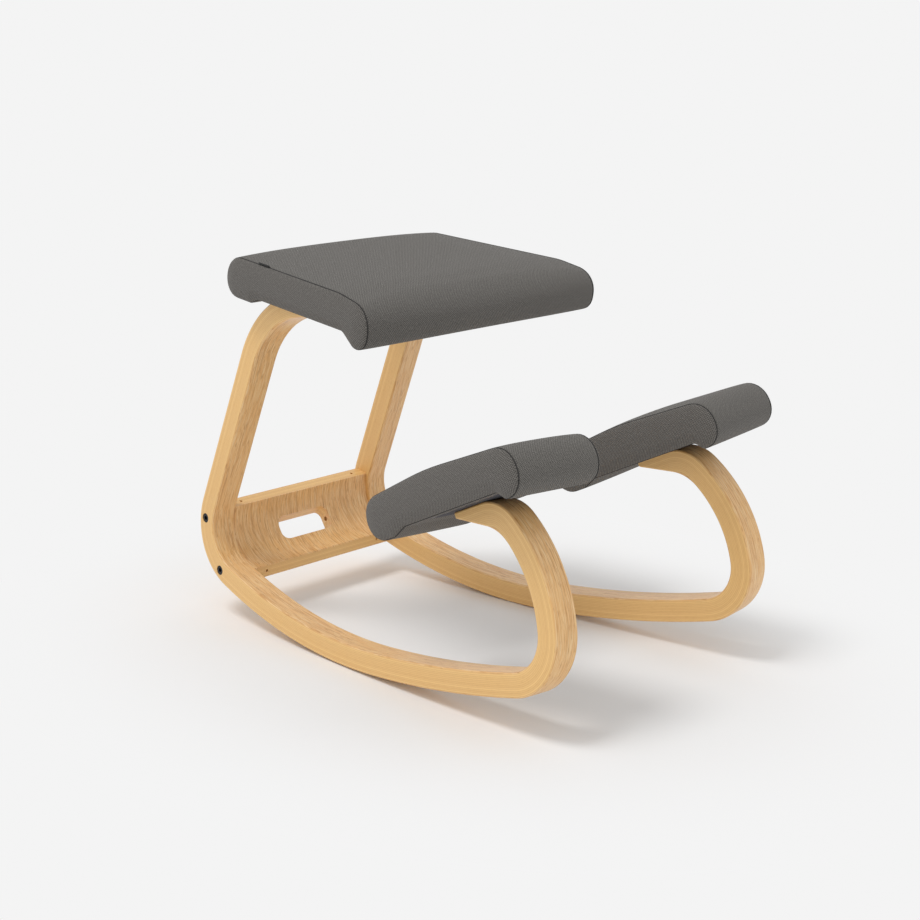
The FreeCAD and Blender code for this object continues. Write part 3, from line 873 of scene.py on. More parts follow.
class Woodwork:
    """The two bent runners and the brace between their heels."""

    def __init__(self, sizes: RunnerSizes) -> None:
        """Walks the runner's path and finds where it stands in the chair."""
        self.sizes = sizes
        self.tree = strip_tree()
        self.wood = BentVeneer().make()
        self.rail = self.walk()
        self.heel = self.heel_centre()
        self.shift = Vector((0, 0, 0))
        self.shift = self.find_shift()

    def walk(self) -> Rail:
        """Walks the runner's outer surface from the seat to the knee pad."""
        s = self.sizes
        turn = math.radians(s.seat_heading)
        rail = Rail(-s.seat_flat * math.cos(turn), -s.seat_flat * math.sin(turn), s.seat_heading)
        rail.line(s.seat_flat)
        rail.bend(*s.seat_bend)
        rail.line(s.rear_leg)
        centres = []
        for radius, angle in s.bends:
            centres.append(Vector((rail.y, rail.z)) - normal_at(rail.heading) * radius)
            rail.bend(radius, angle)
        inner = [radius - s.thickness for radius, _ in s.bends]
        slope = rail.heading + s.knee_taper
        self.knee = EasedBend.between(centres[-2], inner[-2], centres[-1], inner[-1], slope, s.knee_inner_radius)
        rail.line(s.knee_flat)
        return rail

    def heel_centre(self) -> Vector:
        """Centre of the heel's bend, in the flat frame."""
        s = self.sizes
        rail = Rail(0.0, 0.0, s.seat_heading)
        rail.bend(*s.seat_bend)
        rail.line(s.rear_leg)
        turn = math.radians(rail.heading)
        radius = s.bends[0][0]
        return Vector((0, rail.y + radius * math.sin(turn), rail.z - radius * math.cos(turn)))

    def stand(self) -> Matrix:
        """Turns the flat frame to where the left runner stands, in millimetres."""
        s = self.sizes
        pivot = self.heel + Vector((0, s.bends[0][0] - s.hinge_inset, 0))
        turn = math.radians(s.hinge_heading)
        axis = Vector((0, math.cos(turn), math.sin(turn)))
        lean = Matrix.Translation(pivot) @ Matrix.Rotation(-math.radians(s.splay), 4, axis)
        lean = lean @ Matrix.Translation(-pivot)
        return Matrix.Translation(self.shift + Vector((s.brace_gap / 2, 0, 0))) @ lean

    def find_shift(self) -> Vector:
        """Distance from the flat frame to the chair's own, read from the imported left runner."""
        s = self.sizes
        stand = self.stand()
        places = []
        for _, y, z, _ in self.rail.stations:
            for x in (s.edge_round, s.width - s.edge_round):
                places.append(stand @ Vector((x, y, z)))
        low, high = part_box("runner_left")
        down = low[2] / MM - min(p.z for p in places)
        front = low[1] / MM - min(p.y for p in places)
        rear = high[1] / MM - max(p.y for p in places)
        return Vector((0, (front + rear) / 2, down))

    def thickness_at(self, station: Station) -> float:
        """Thickness of the strip at a place along it."""
        s = self.sizes
        run, total = station[0], self.rail.run
        eased = self.knee.depth(*station[1:])
        if eased is not None and eased < s.thickness * s.thickest_share:
            return eased
        at_seat = end_thickness(s.thickness, s.seat_bend[0], s.seat_taper, s.seat_flat - run)
        at_knee = end_thickness(s.thickness, s.bends[-1][0], s.knee_taper, run - (total - s.knee_flat))
        return min(at_seat, at_knee, s.thickness)

    def rail_object(
        self, name: str, stations: Sequence[Station], thin: Sequence[float], middle: float, place: Matrix, side: Side
    ) -> bpy.types.Object:
        """Makes the line of points that the strip tree sweeps along.

        Args:
            name: The object's name.
            stations: Run, y, z and heading of each point.
            thin: Thickness at each point.
            middle: X of the strip's middle in the flat frame.
            place: Where the flat frame stands.
            side: Which half of the chair.

        Returns:
            The rail, with the attributes that the tree reads.
        """
        flip = Matrix.Diagonal((side.value, 1, 1, 1))
        where = flip @ place
        points = [where @ Vector((middle, y, z)) * MM for _, y, z, _ in stations]
        piece = line_object(name, points, [(k, k + 1) for k in range(len(points) - 1)])
        turn = where.to_3x3()
        across = turn @ Vector((1, 0, 0))
        columns: dict[str, list] = {"run": [], "thin": [], "rail": [], "across": [], "inward": []}
        for (run, _, _, heading), thick, point in zip(stations, thin, points):
            slope = math.radians(heading)
            columns["run"].append(run * MM)
            columns["thin"].append(thick * MM)
            columns["rail"].append(point)
            columns["across"].append(across)
            columns["inward"].append(turn @ Vector((0, math.sin(slope), -math.cos(slope))))
        for label, values in columns.items():
            write_attribute(piece.data, label, values)
        return piece

    def seat_frame(self) -> Matrix:
        """The seat's own frame, whose zero is where its board rests on the wood."""
        return Matrix.Translation(self.shift) @ Matrix.Rotation(math.radians(self.sizes.seat_heading), 4, "X")

    def pad_frame(self) -> Matrix:
        """The left knee pad's own frame."""
        _, y, z, heading = self.rail.stations[-1]
        tip = Vector((self.sizes.width / 2, y, z))
        return self.stand() @ Matrix.Translation(tip) @ Matrix.Rotation(math.radians(heading), 4, "X")

    def seat_screw_places(self) -> list[Vector]:
        """Places of the left runner's seat screws in the seat's frame."""
        stand, back = self.stand(), self.seat_frame().inverted()
        turn = math.radians(self.sizes.seat_heading)
        places = []
        for y in self.sizes.seat_screws:
            flat = Vector((self.sizes.width / 2, y * math.cos(turn), y * math.sin(turn)))
            places.append(Vector(((back @ (stand @ flat)).x, y, 0)))
        return places

    def heel_point(self, angle: float, radius: float, x: float) -> Vector:
        """Point at an angle about the heel's centre, in the flat frame."""
        turn = math.radians(angle)
        return self.heel + Vector((x, radius * math.cos(turn), radius * math.sin(turn)))

    def runner(self, side: Side) -> bpy.types.Object:
        """Builds one runner with its bolt and screw bores."""
        s = self.sizes
        stand, flip = self.stand(), Matrix.Diagonal((side.value, 1, 1, 1))
        name = "runner_" + side.name.lower()
        holes = []
        for angle in s.bolt_angles:
            seat = self.heel_point(angle, s.bends[0][0] - s.bolt_inset, s.width - s.bolt_sink)
            start = flip @ stand @ seat
            outside = flip @ stand @ (seat + Vector((1, 0, 0)))
            holes.append(tube(start, outside - start, s.bore_length, s.bolt_bore))
        pad_places = [Vector((0, y, 0)) for y in s.pad_screws]
        for place, points in ((self.seat_frame(), self.seat_screw_places()), (self.pad_frame(), pad_places)):
            for point in points:
                start = flip @ place @ (point - Vector((0, 0, s.screw_seat)))
                below = flip @ place @ (point - Vector((0, 0, s.screw_seat + 1)))
                holes.append(tube(start, below - start, s.bore_length, s.screw_bore))
        cutters = joined(name + "_cutters", holes)
        thin = [self.thickness_at(station) for station in self.rail.stations]
        piece = self.rail_object(name + "_strip", self.rail.stations, thin, s.width / 2, stand, side)
        sizes = {"Width": s.width * MM, "Thickness": s.thickness * MM, "Edge Round": s.edge_round * MM}
        run_tree(piece, self.tree, {**sizes, "Cutters": cutters, "Wood": self.wood})
        bpy.data.objects.remove(cutters)
        self.finish(piece, "runner_" + side.name.lower())
        return piece

    def finish(self, piece: bpy.types.Object, node: str) -> None:
        """Closes and smooths one wooden piece, hides the construction node that it stands for and puts it under the
        root body.
        """
        outward(piece)
        smooth(piece, 35)
        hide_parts(node)
        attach(piece, ROOT)


@dataclass(frozen=True)
class BraceSizes:
    """Sizes of the curved brace."""

    thickness: float = 19.0
    inset: float = 6.0
    top_angle: float = 17.4
    bottom_angle: float = -78.0
    edge_round: float = 1.5
    slot_length: float = 96.0
    slot_height: float = 34.0
    slot_corner: float = 12.0
    slot_tilt: float = -42.0
    slot_offset: float = 14.1
    slot_reach: tuple[float, float] = (20.0, 140.0)
    edge_hole: float = 2.2
    edge_setback: float = 22.0
    edge_stop: float = 6.0
    overrun: float = 2.0
    dowel_hole: float = 3.5
    dowel_angle: float = -30.0
    dowel_depth: float = 36.0
    dowel_stop: float = 20.0
    trim_block: tuple[float, float] = (200.0, 300.0)
    trim_spare: float = 30.0


class Brace:
    """The curved brace with its hand slot, swept by the same tree as the runners."""

    def __init__(self, sizes: BraceSizes, woodwork: Woodwork) -> None:
        """Takes the woodwork whose runners the brace joins."""
        self.sizes = sizes
        self.woodwork = woodwork
        self.outer = woodwork.sizes.bends[0][0] - sizes.inset

    def slot(self) -> Solid:
        """The hand slot as a rounded prism, in metres."""
        s, heel, shift = self.sizes, self.woodwork.heel, self.woodwork.shift
        tilt = math.radians(s.slot_tilt)
        axis = Vector((0, math.cos(tilt), math.sin(tilt)))
        rise = Vector((0, -math.sin(tilt), math.cos(tilt)))
        outline = []
        for sx, sz, first in ((1, 1, 0), (-1, 1, 90), (-1, -1, 180), (1, -1, 270)):
            centre = (sx * (s.slot_length / 2 - s.slot_corner), sz * (s.slot_height / 2 - s.slot_corner))
            for k in range(9):
                turn = math.radians(first + k * 90 / 8)
                outline.append((centre[0] + s.slot_corner * math.cos(turn), centre[1] + s.slot_corner * math.sin(turn)))
        points = []
        middle = heel + shift + rise * s.slot_offset
        for reach in s.slot_reach:
            points += [(middle + Vector((x, 0, 0)) + rise * z + axis * reach) * MM for x, z in outline]
        return np.array(points), prism_faces(len(outline))

    def ends(self) -> list[Solid]:
        """Blocks that trim the brace to the runners' inner faces."""
        stand = self.woodwork.stand()
        wide, tall = self.sizes.trim_block
        blocks = []
        for side in Side:
            flip = Matrix.Diagonal((side.value, 1, 1, 1))
            corners = [Vector((x, y, z)) for x in (0.0, wide) for y in (-tall, tall) for z in (-tall, tall)]
            points = np.array([flip @ stand @ (self.woodwork.heel + c) * MM for c in corners])
            faces = [[0, 1, 3, 2], [4, 6, 7, 5], [0, 4, 5, 1], [2, 3, 7, 6], [0, 2, 6, 4], [1, 5, 7, 3]]
            blocks.append((points, faces))
        return blocks

    def small_holes(self) -> list[Solid]:
        """Edge holes and the dowels' bores."""
        s, wood = self.sizes, self.woodwork
        middle = self.outer - s.thickness / 2
        half_gap = wood.sizes.brace_gap / 2
        holes = []
        bolt_radius = wood.sizes.bends[0][0] - wood.sizes.bolt_inset
        edges = ((s.top_angle, wood.sizes.bolt_angles[0], 1), (s.bottom_angle, wood.sizes.bolt_angles[1], -1))
        for side in Side:
            flip = Matrix.Diagonal((side.value, 1, 1, 1))
            for angle, bolt_angle, sense in edges:
                turn = math.radians(angle)
                tangent = Vector((0, math.sin(turn), -math.cos(turn))) * sense
                depth = math.radians(abs(angle - bolt_angle)) * bolt_radius - s.edge_stop
                mouth = wood.heel_point(angle, middle, half_gap - s.edge_setback) + wood.shift
                holes.append(tube(flip @ (mouth - tangent * s.overrun), tangent, depth + s.overrun, s.edge_hole, 16))
            line = wood.heel_point(s.dowel_angle, middle, half_gap - s.dowel_depth) + wood.shift
            reach = half_gap - s.dowel_depth - s.dowel_stop
            holes.append(tube(flip @ line, Vector((-side.value, 0, 0)), reach, s.dowel_hole, 20))
        return holes

    def build(self) -> bpy.types.Object:
        """Builds the brace."""
        s, wood = self.sizes, self.woodwork
        start = wood.heel_point(s.top_angle, self.outer, 0.0)
        rail = Rail(start.y, start.z, s.top_angle - 90.0, finest=2.5)
        rail.bend(self.outer, s.top_angle - s.bottom_angle)
        place = Matrix.Translation(wood.shift)
        thin = [s.thickness] * len(rail.stations)
        piece = wood.rail_object("cross_brace_strip", rail.stations, thin, 0.0, place, Side.LEFT)
        cutters = joined("brace_cutters", [self.slot(), *self.ends()])
        small = joined("brace_small_cutters", self.small_holes())
        width = wood.sizes.brace_gap + s.trim_spare
        material = BentVeneer("brace_veneer", s.thickness, 2.375).make()
        sizes = {"Width": width * MM, "Thickness": s.thickness * MM, "Edge Round": s.edge_round * MM}
        run_tree(piece, wood.tree, {**sizes, "Cutters": cutters, "Small Cutters": small, "Wood": material})
        bpy.data.objects.remove(cutters)
        bpy.data.objects.remove(small)
        wood.finish(piece, "cross_brace")
        return piece


# Cushions


@dataclass(frozen=True)
class CushionSizes:
    """Sizes of a cushion in its own frame: Y runs to the rear, and zero is the wood's face."""

    name: str
    front: float
    rear: float
    front_half: float
    rear_half: float
    rear_top: float
    crest: float
    crest_top: float
    front_top: float
    rear_drop: float
    skirt_drop: float
    front_drop: float
    front_lean: float
    recess_rear: float
    recess_front: float
    rear_step: float
    front_step: float
    rear_top_round: float
    rear_low_round: float
    front_top_round: float
    front_low_round: float
    crest_round: float
    step_round: float
    swell: float
    side_swell: float
    fill: float
    side_thick: float = 2.0
    opening_inset: float = 3.0
    skirt_width: float = 16.0
    floor_level: float = 0.6

    def half_width(self, y: np.ndarray | float) -> np.ndarray | float:
        """Half the width at y."""
        share = (y - self.front) / (self.rear - self.front)
        return self.front_half + (self.rear_half - self.front_half) * share

    def corners(self) -> list[tuple[float, float, float, int]]:
        """Corners of the side view as y, z, corner radius and whether the next edge swells."""
        return [
            (self.rear, self.rear_top, self.rear_top_round, 1),
            (self.rear, -self.rear_drop, self.rear_low_round, 0),
            (self.recess_rear + self.rear_step, -self.rear_drop, self.step_round, 0),
            (self.recess_rear, -self.skirt_drop, self.step_round, 0),
            (self.recess_front, -self.skirt_drop, self.step_round, 0),
            (self.recess_front - self.front_step, -self.front_drop, self.step_round, 0),
            (self.front + self.front_lean, -self.front_drop, self.front_low_round, 1),
            (self.front, self.front_top, self.front_top_round, 1),
            (self.crest, self.crest_top, self.crest_round, 1),
        ]


def moved_corners(
    corners: Sequence[tuple[float, float, float, int]], inset: float, swell: float
) -> list[tuple[float, float, float]]:
    """Moves an outline's edges.

    Args:
        corners: The outline, as y, z, radius and whether the next edge swells.
        inset: How far every edge moves in.
        swell: How far the swelling edges move out.

    Returns:
        The new corners, as y, z and radius.
    """
    count = len(corners)
    lines = []
    for i in range(count):
        ya, za, _, soft = corners[i]
        yb, zb = corners[(i + 1) % count][:2]
        length = math.hypot(yb - ya, zb - za)
        normal = (-(zb - za) / length, (yb - ya) / length)
        amount = inset - swell * soft
        lines.append((ya - normal[0] * amount, za - normal[1] * amount, yb - ya, zb - za))
    moved = []
    for i in range(count):
        y0, z0, dy0, dz0 = lines[i - 1]
        y1, z1, dy1, dz1 = lines[i]
        along = ((y1 - y0) * dz1 - (z1 - z0) * dy1) / (dy0 * dz1 - dz0 * dy1)
        hollow = dy0 * dz1 - dz0 * dy1 > 0
        radius = max(corners[i][2] + (inset if hollow else -inset), 1.5)
        moved.append((y0 + dy0 * along, z0 + dz0 * along, radius))
    return moved


@dataclass(frozen=True)
class LoopPlan:
    """How many points each corner and each edge of an outline takes."""

    corner_points: tuple[int, ...]
    edge_points: tuple[int, ...]

    def place(self, corners: Sequence[tuple[float, float, float]]) -> np.ndarray:
        """Puts the points on rounded corners and straight edges, as rows of y and z."""
        count = len(corners)
        flats = [Vector((c[0], c[1])) for c in corners]
        arcs = []
        for i in range(count):
            here, back, ahead = flats[i], flats[i - 1] - flats[i], flats[(i + 1) % count] - flats[i]
            back.normalize()
            ahead.normalize()
            half = back.angle(ahead) / 2
            radius = corners[i][2]
            start = here + back * (radius / math.tan(half))
            centre = here + (back + ahead).normalized() * (radius / math.sin(half))
            sweep = math.pi - 2 * half
            turning = back.x * ahead.y - back.y * ahead.x
            sign = -1.0 if turning > 0 else 1.0
            spoke = start - centre
            points = []
            for k in range(self.corner_points[i]):
                turn = sign * sweep * k / (self.corner_points[i] - 1)
                cos, sin = math.cos(turn), math.sin(turn)
                points.append(centre + Vector((spoke.x * cos - spoke.y * sin, spoke.x * sin + spoke.y * cos)))
            arcs.append(points)
        loop = []
        for i in range(count):
            loop += [tuple(p) for p in arcs[i]]
            a, b = arcs[i][-1], arcs[(i + 1) % count][0]
            inner = self.edge_points[i]
            loop += [tuple(a.lerp(b, (k + 1) / (inner + 1))) for k in range(inner)]
        return np.array(loop)


class Cushion:
    """A sewn cushion: a wrap panel over the top, front and rear, and a flat panel at each side."""

    SEAM_ROWS = (0.0, 1.1, 2.8, 5.5, 9.5, 14.0, 14.6, 20.0, 27.0, 36.0)
    PANEL_RINGS = ((0.5, 1.9), (2.0, 3.4), (5.0, 5.4), (9.5, 6.6))
    PANEL_STEPS = (0.35, 0.65)
    PANEL_HOLDS = (1.0, 1.0, 0.7, 0.5, 0.3, 0.2)
    SPINE_INSETS = (36, 34)
    SEAM_TUCKS = (1.5, 0.35)
    SEAM_HOLD = (2.0, 14)
    POINT_SPACING = 7.5
    SECTION_SPACING = 12

    def __init__(self, sizes: CushionSizes) -> None:
        """Plans the case's points from the cushion's sizes."""
        self.sizes = sizes
        self.plan = self.plan_loop()

    def plan_loop(self) -> LoopPlan:
        """Chooses how many points each corner and edge takes, from the plain outline."""
        corners = self.sizes.corners()
        count = len(corners)
        arcs, edges = [], []
        for i in range(count):
            arcs.append(9 if corners[i][2] >= 20 else 6)
            length = math.dist(corners[i][:2], corners[(i + 1) % count][:2])
            edges.append(max(2, round(length / self.POINT_SPACING)))
        return LoopPlan(tuple(arcs), tuple(edges))

    def floor_rows(self, loop: np.ndarray) -> np.ndarray:
        """Which points of the loop lie over the opening underneath."""
        s = self.sizes
        flat = np.abs(loop[:, 1] + s.skirt_drop) < 0.01
        inside = (loop[:, 0] < s.recess_rear - s.opening_inset) & (loop[:, 0] > s.recess_front + s.opening_inset)
        return flat & inside

    def section(self, swell: float) -> np.ndarray:
        """Side view of one section, as rows of y and z, with its recess edges drawn to the opening."""
        s = self.sizes
        loop = self.plan.place(moved_corners(s.corners(), 0.0, swell))
        floor = np.flatnonzero(self.floor_rows(loop))
        ends = ((floor[0], floor[1], s.recess_rear), (floor[-1], floor[-2], s.recess_front))
        for rim, first, edge in ends:
            inward = -1.0 if edge > 0 else 1.0
            loop[rim, 0] = edge + inward * (s.opening_inset - 0.3)
            loop[first, 0] = edge + inward * (s.opening_inset + 0.3)
        return loop

    def shares(self) -> list[float]:
        """Places of the sections across the cushion, as shares of the half width."""
        s = self.sizes
        half = (s.front_half + s.rear_half) / 2 - s.side_thick
        rows = [d for d in self.SEAM_ROWS if d < half - 6]
        outer = [1 - d / half for d in rows]
        middle_count = max(3, round(outer[-1] * half / self.SECTION_SPACING))
        inner = [outer[-1] * (1 - (k + 1) / middle_count) for k in range(middle_count - 1)]
        right = [-v for v in outer + inner]
        return right + [0.0] + [-v for v in reversed(right)]

    def points(self) -> tuple[np.ndarray, np.ndarray, np.ndarray]:
        """Places every point of the case.

        Returns:
            Points by section and loop, which of them must hold still, and the loop's own lengths.
        """
        s = self.sizes
        shares = self.shares()
        flat_loop = self.section(0.0)
        floor = self.floor_rows(flat_loop)
        floor_ends = np.flatnonzero(floor)
        rim = np.zeros(len(floor), dtype=bool)
        rim[[floor_ends[0], floor_ends[-1]]] = True
        under = (flat_loop[:, 0] < s.recess_rear + 4) & (flat_loop[:, 0] > s.recess_front - 4)
        low = (flat_loop[:, 1] <= -s.skirt_drop + 0.5) & under
        grid, held = [], []
        for share in shares:
            loop = self.section(s.swell * (1 - abs(share) ** 3))
            x = share * (s.half_width(loop[:, 0]) - s.side_thick)
            from_side = s.half_width(loop[:, 0]) - np.abs(x)
            raised = floor & ~rim & (from_side > s.skirt_width + 0.2)
            z = np.where(raised, s.floor_level, loop[:, 1])
            edge = s.half_width(0.0) - s.side_thick - np.abs(share) * (s.half_width(0.0) - s.side_thick)
            grid.append(np.column_stack((x, loop[:, 0], z)))
            tight = 1.0 if edge < self.SEAM_HOLD[0] else max(0.0, 1 - edge / self.SEAM_HOLD[1])
            held.append(np.where(low | floor, 1.0, tight))
        lengths = np.concatenate(([0.0], np.cumsum(np.hypot(*np.diff(flat_loop, axis=0).T))))
        return np.array(grid), np.array(held), lengths

    def tuck(self, grid: np.ndarray) -> np.ndarray:
        """Draws the seam rows into the cushion, so that each seam lies in a crease."""
        tucked = grid.copy()
        for offset, amount in enumerate(self.SEAM_TUCKS):
            for row in (offset, -1 - offset):
                loop = grid[row]
                ahead, behind = np.roll(loop, -1, axis=0), np.roll(loop, 1, axis=0)
                direction = (ahead - behind)[:, 1:]
                direction /= np.linalg.norm(direction, axis=1)[:, None] + 1e-9
                inside = np.column_stack((np.zeros(len(loop)), -direction[:, 1], direction[:, 0]))
                middle = loop.mean(axis=0)
                sign = np.sign(((middle - loop) * inside).sum(axis=1).mean())
                tucked[row] += inside * sign * amount
        return tucked

    def panel(self, share: float, base: int) -> tuple[np.ndarray, list[list[int]], np.ndarray]:
        """Builds one side panel inside the seam.

        Args:
            share: -1 for the right side and 1 for the left.
            base: Number of the panel's first own vertex.

        Returns:
            Its points, its faces except those that meet the seam, and its place in the cloth.
        """
        s = self.sizes
        rings = []
        for inset, reach in self.PANEL_RINGS:
            loop = self.plan.place(moved_corners(s.corners(), inset, 0.0))
            x = share * (s.half_width(loop[:, 0]) + reach - s.side_thick)
            rings.append(np.column_stack((x, loop[:, 0], loop[:, 1])))
        last = rings[-1]
        spine_y = np.clip(last[:, 1], s.front + self.SPINE_INSETS[0], s.rear - self.SPINE_INSETS[1])
        spine_z = np.interp(spine_y, (s.front, s.rear), self.spine_heights())
        for part in self.PANEL_STEPS:
            ring = last.copy()
            ring[:, 1] += (spine_y - last[:, 1]) * part
            ring[:, 2] += (spine_z - last[:, 2]) * part
            ring[:, 0] = share * (s.half_width(ring[:, 1]) + s.side_swell + 0.4 * part)
            rings.append(ring)
        count = len(last)
        faces = []
        for k in range(len(rings) - 1):
            for i in range(count):
                j = (i + 1) % count
                here, ahead = base + k * count, base + (k + 1) * count
                faces.append([here + i, here + j, ahead + j, ahead + i])
        return np.vstack(rings), faces, np.array([count, len(rings)])

    def spine_heights(self) -> tuple[float, float]:
        """Heights of the side panel's middle line at its front and rear."""
        s = self.sizes
        return ((s.front_top - s.front_drop) / 2 + 2, (s.rear_top - s.rear_drop) / 2)

    def build_case(self) -> tuple[bpy.types.Object, tuple[range, range]]:
        """Builds the closed case.

        Returns:
            The case as a mesh, in the cushion's frame, and the vertices of its two seams.
        """
        grid, held, lengths = self.points()
        grid = self.tuck(grid)
        sections, count = grid.shape[:2]
        points = [grid.reshape(-1, 3)]
        faces: list[list[int]] = []
        kinds: list[int] = []
        cloth: list[list[tuple[float, float]]] = []
        total = lengths[-1] + np.linalg.norm(grid[0, 0, 1:] - grid[0, -1, 1:])
        start = int(np.argmin(np.abs(grid[0, :, 1]) + (grid[0, :, 2] > 0) * 1e3))
        along = (lengths - lengths[start]) % total
        for k in range(sections - 1):
            for i in range(count):
                j = (i + 1) % count
                faces.append([k * count + i, k * count + j, (k + 1) * count + j, (k + 1) * count + i])
                v0, v1 = along[i], along[j] if along[j] > along[i] else along[j] + total
                here, ahead = grid[k], grid[k + 1]
                cloth.append([(here[i, 0], v0), (here[j, 0], v1), (ahead[j, 0], v1), (ahead[i, 0], v0)])
                kinds.append(Part.WRAP.value)
        hold = [held.ravel()]
        base = sections * count
        for end, share in ((0, -1.0), (sections - 1, 1.0)):
            own, own_faces, shape = self.panel(share, base)
            everything = np.vstack([*points, own])
            edge = end * count
            seam = [[edge + i, edge + (i + 1) % count, base + (i + 1) % count, base + i] for i in range(count)]
            inner = [base + (int(shape[1]) - 1) * count + i for i in range(count)]
            for face in (*seam, *own_faces):
                faces.append(face)
                kinds.append(Part.PANEL.value)
                cloth.append([(everything[v, 1], everything[v, 2]) for v in face])
            faces.append(inner)
            kinds.append(Part.PANEL.value)
            cloth.append([(everything[v, 1], everything[v, 2]) for v in inner])
            points.append(own)
            hold.append(np.concatenate([np.full(count, w) for w in self.PANEL_HOLDS]))
            base += len(own)
        piece = new_mesh_object(self.sizes.name + "_cushion", np.vstack(points) * MM, faces)
        layer = piece.data.uv_layers.new(name="cloth")
        flat = [coordinate * MM for face in cloth for corner in face for coordinate in corner]
        layer.data.foreach_set("uv", np.array(flat, dtype=np.float32))
        piece.data.polygons.foreach_set("material_index", np.array(kinds, dtype=np.int32))
        group = piece.vertex_groups.new(name="held")
        for index, weight in enumerate(np.concatenate(hold)):
            group.add([index], float(min(1.0, weight)), "REPLACE")
        self.close_panels(piece)
        return piece, (range(count), range((sections - 1) * count, sections * count))

    def close_panels(self, piece: bpy.types.Object) -> None:
        """Divides the wide middle face of each side panel and turns all faces outwards."""
        shape = bmesh.new()
        shape.from_mesh(piece.data)
        wide = [f for f in shape.faces if len(f.verts) > 4]
        bmesh.ops.triangulate(shape, faces=wide, quad_method="BEAUTY", ngon_method="BEAUTY")
        bmesh.ops.recalc_face_normals(shape, faces=shape.faces)
        shape.to_mesh(piece.data)
        shape.free()

    def inflate(self, piece: bpy.types.Object, pressure: float = 4.0, cap: float = 2.5) -> None:
        """Blows the case up as cloth, with its seams and underside held.

        Args:
            piece: The case, in metres.
            pressure: The cloth's inner pressure.
            cap: The furthest that a point may move, in millimetres.
        """
        scene = bpy.context.scene
        mesh = piece.data
        before = np.empty(len(mesh.vertices) * 3)
        mesh.vertices.foreach_get("co", before)
        before = before.reshape(-1, 3)
        cloth = piece.modifiers.new("cloth", "CLOTH")
        settings = cloth.settings
        settings.use_pressure = True
        settings.uniform_pressure_force = pressure
        settings.vertex_group_mass = "held"
        settings.quality = 5
        settings.mass = 0.3
        settings.tension_stiffness = 20
        settings.compression_stiffness = 20
        settings.bending_stiffness = 2.0
        settings.effector_weights.gravity = 0.0
        cloth.collision_settings.use_collision = False
        for number in range(1, 21):
            scene.frame_set(number)
        graph = bpy.context.evaluated_depsgraph_get()
        after = np.empty(len(mesh.vertices) * 3)
        piece.evaluated_get(graph).data.vertices.foreach_get("co", after)
        move = after.reshape(-1, 3) - before
        size = np.linalg.norm(move, axis=1, keepdims=True)
        limit = cap * MM
        LOG.info("%s blown up by %.2f mm at most", piece.name, float(size.max()) / MM)
        move *= np.minimum(1.0, limit / np.maximum(size, 1e-9))
        piece.modifiers.clear()
        scene.frame_set(1)
        mesh.vertices.foreach_set("co", (before + move).ravel())
        mesh.update()


SEAT = CushionSizes(
    name="seat", front=-154.5, rear=158.0, front_half=215.5, rear_half=181.5,
    rear_top=30.4, crest=-91.0, crest_top=28.9, front_top=19.4,
    rear_drop=25.6, skirt_drop=18.0, front_drop=34.6, front_lean=5.5,
    recess_rear=83.2, recess_front=-101.0, rear_step=17.0, front_step=24.0,
    rear_top_round=30.0, rear_low_round=24.0, front_top_round=31.0, front_low_round=20.0,
    crest_round=120.0, step_round=14.0, swell=3.2, side_swell=7.0, fill=0.9,
)

PAD = CushionSizes(
    name="pad", front=-175.0, rear=106.0, front_half=67.0, rear_half=67.0,
    rear_top=46.0, crest=-22.0, crest_top=55.0, front_top=46.5,
    rear_drop=9.5, skirt_drop=1.5, front_drop=12.5, front_lean=0.5,
    recess_rear=40.0, recess_front=-133.0, rear_step=22.0, front_step=11.0,
    rear_top_round=27.0, rear_low_round=27.0, front_top_round=31.0, front_low_round=26.0,
    crest_round=500.0, step_round=8.0, swell=1.2, side_swell=6.5, fill=0.9,
)


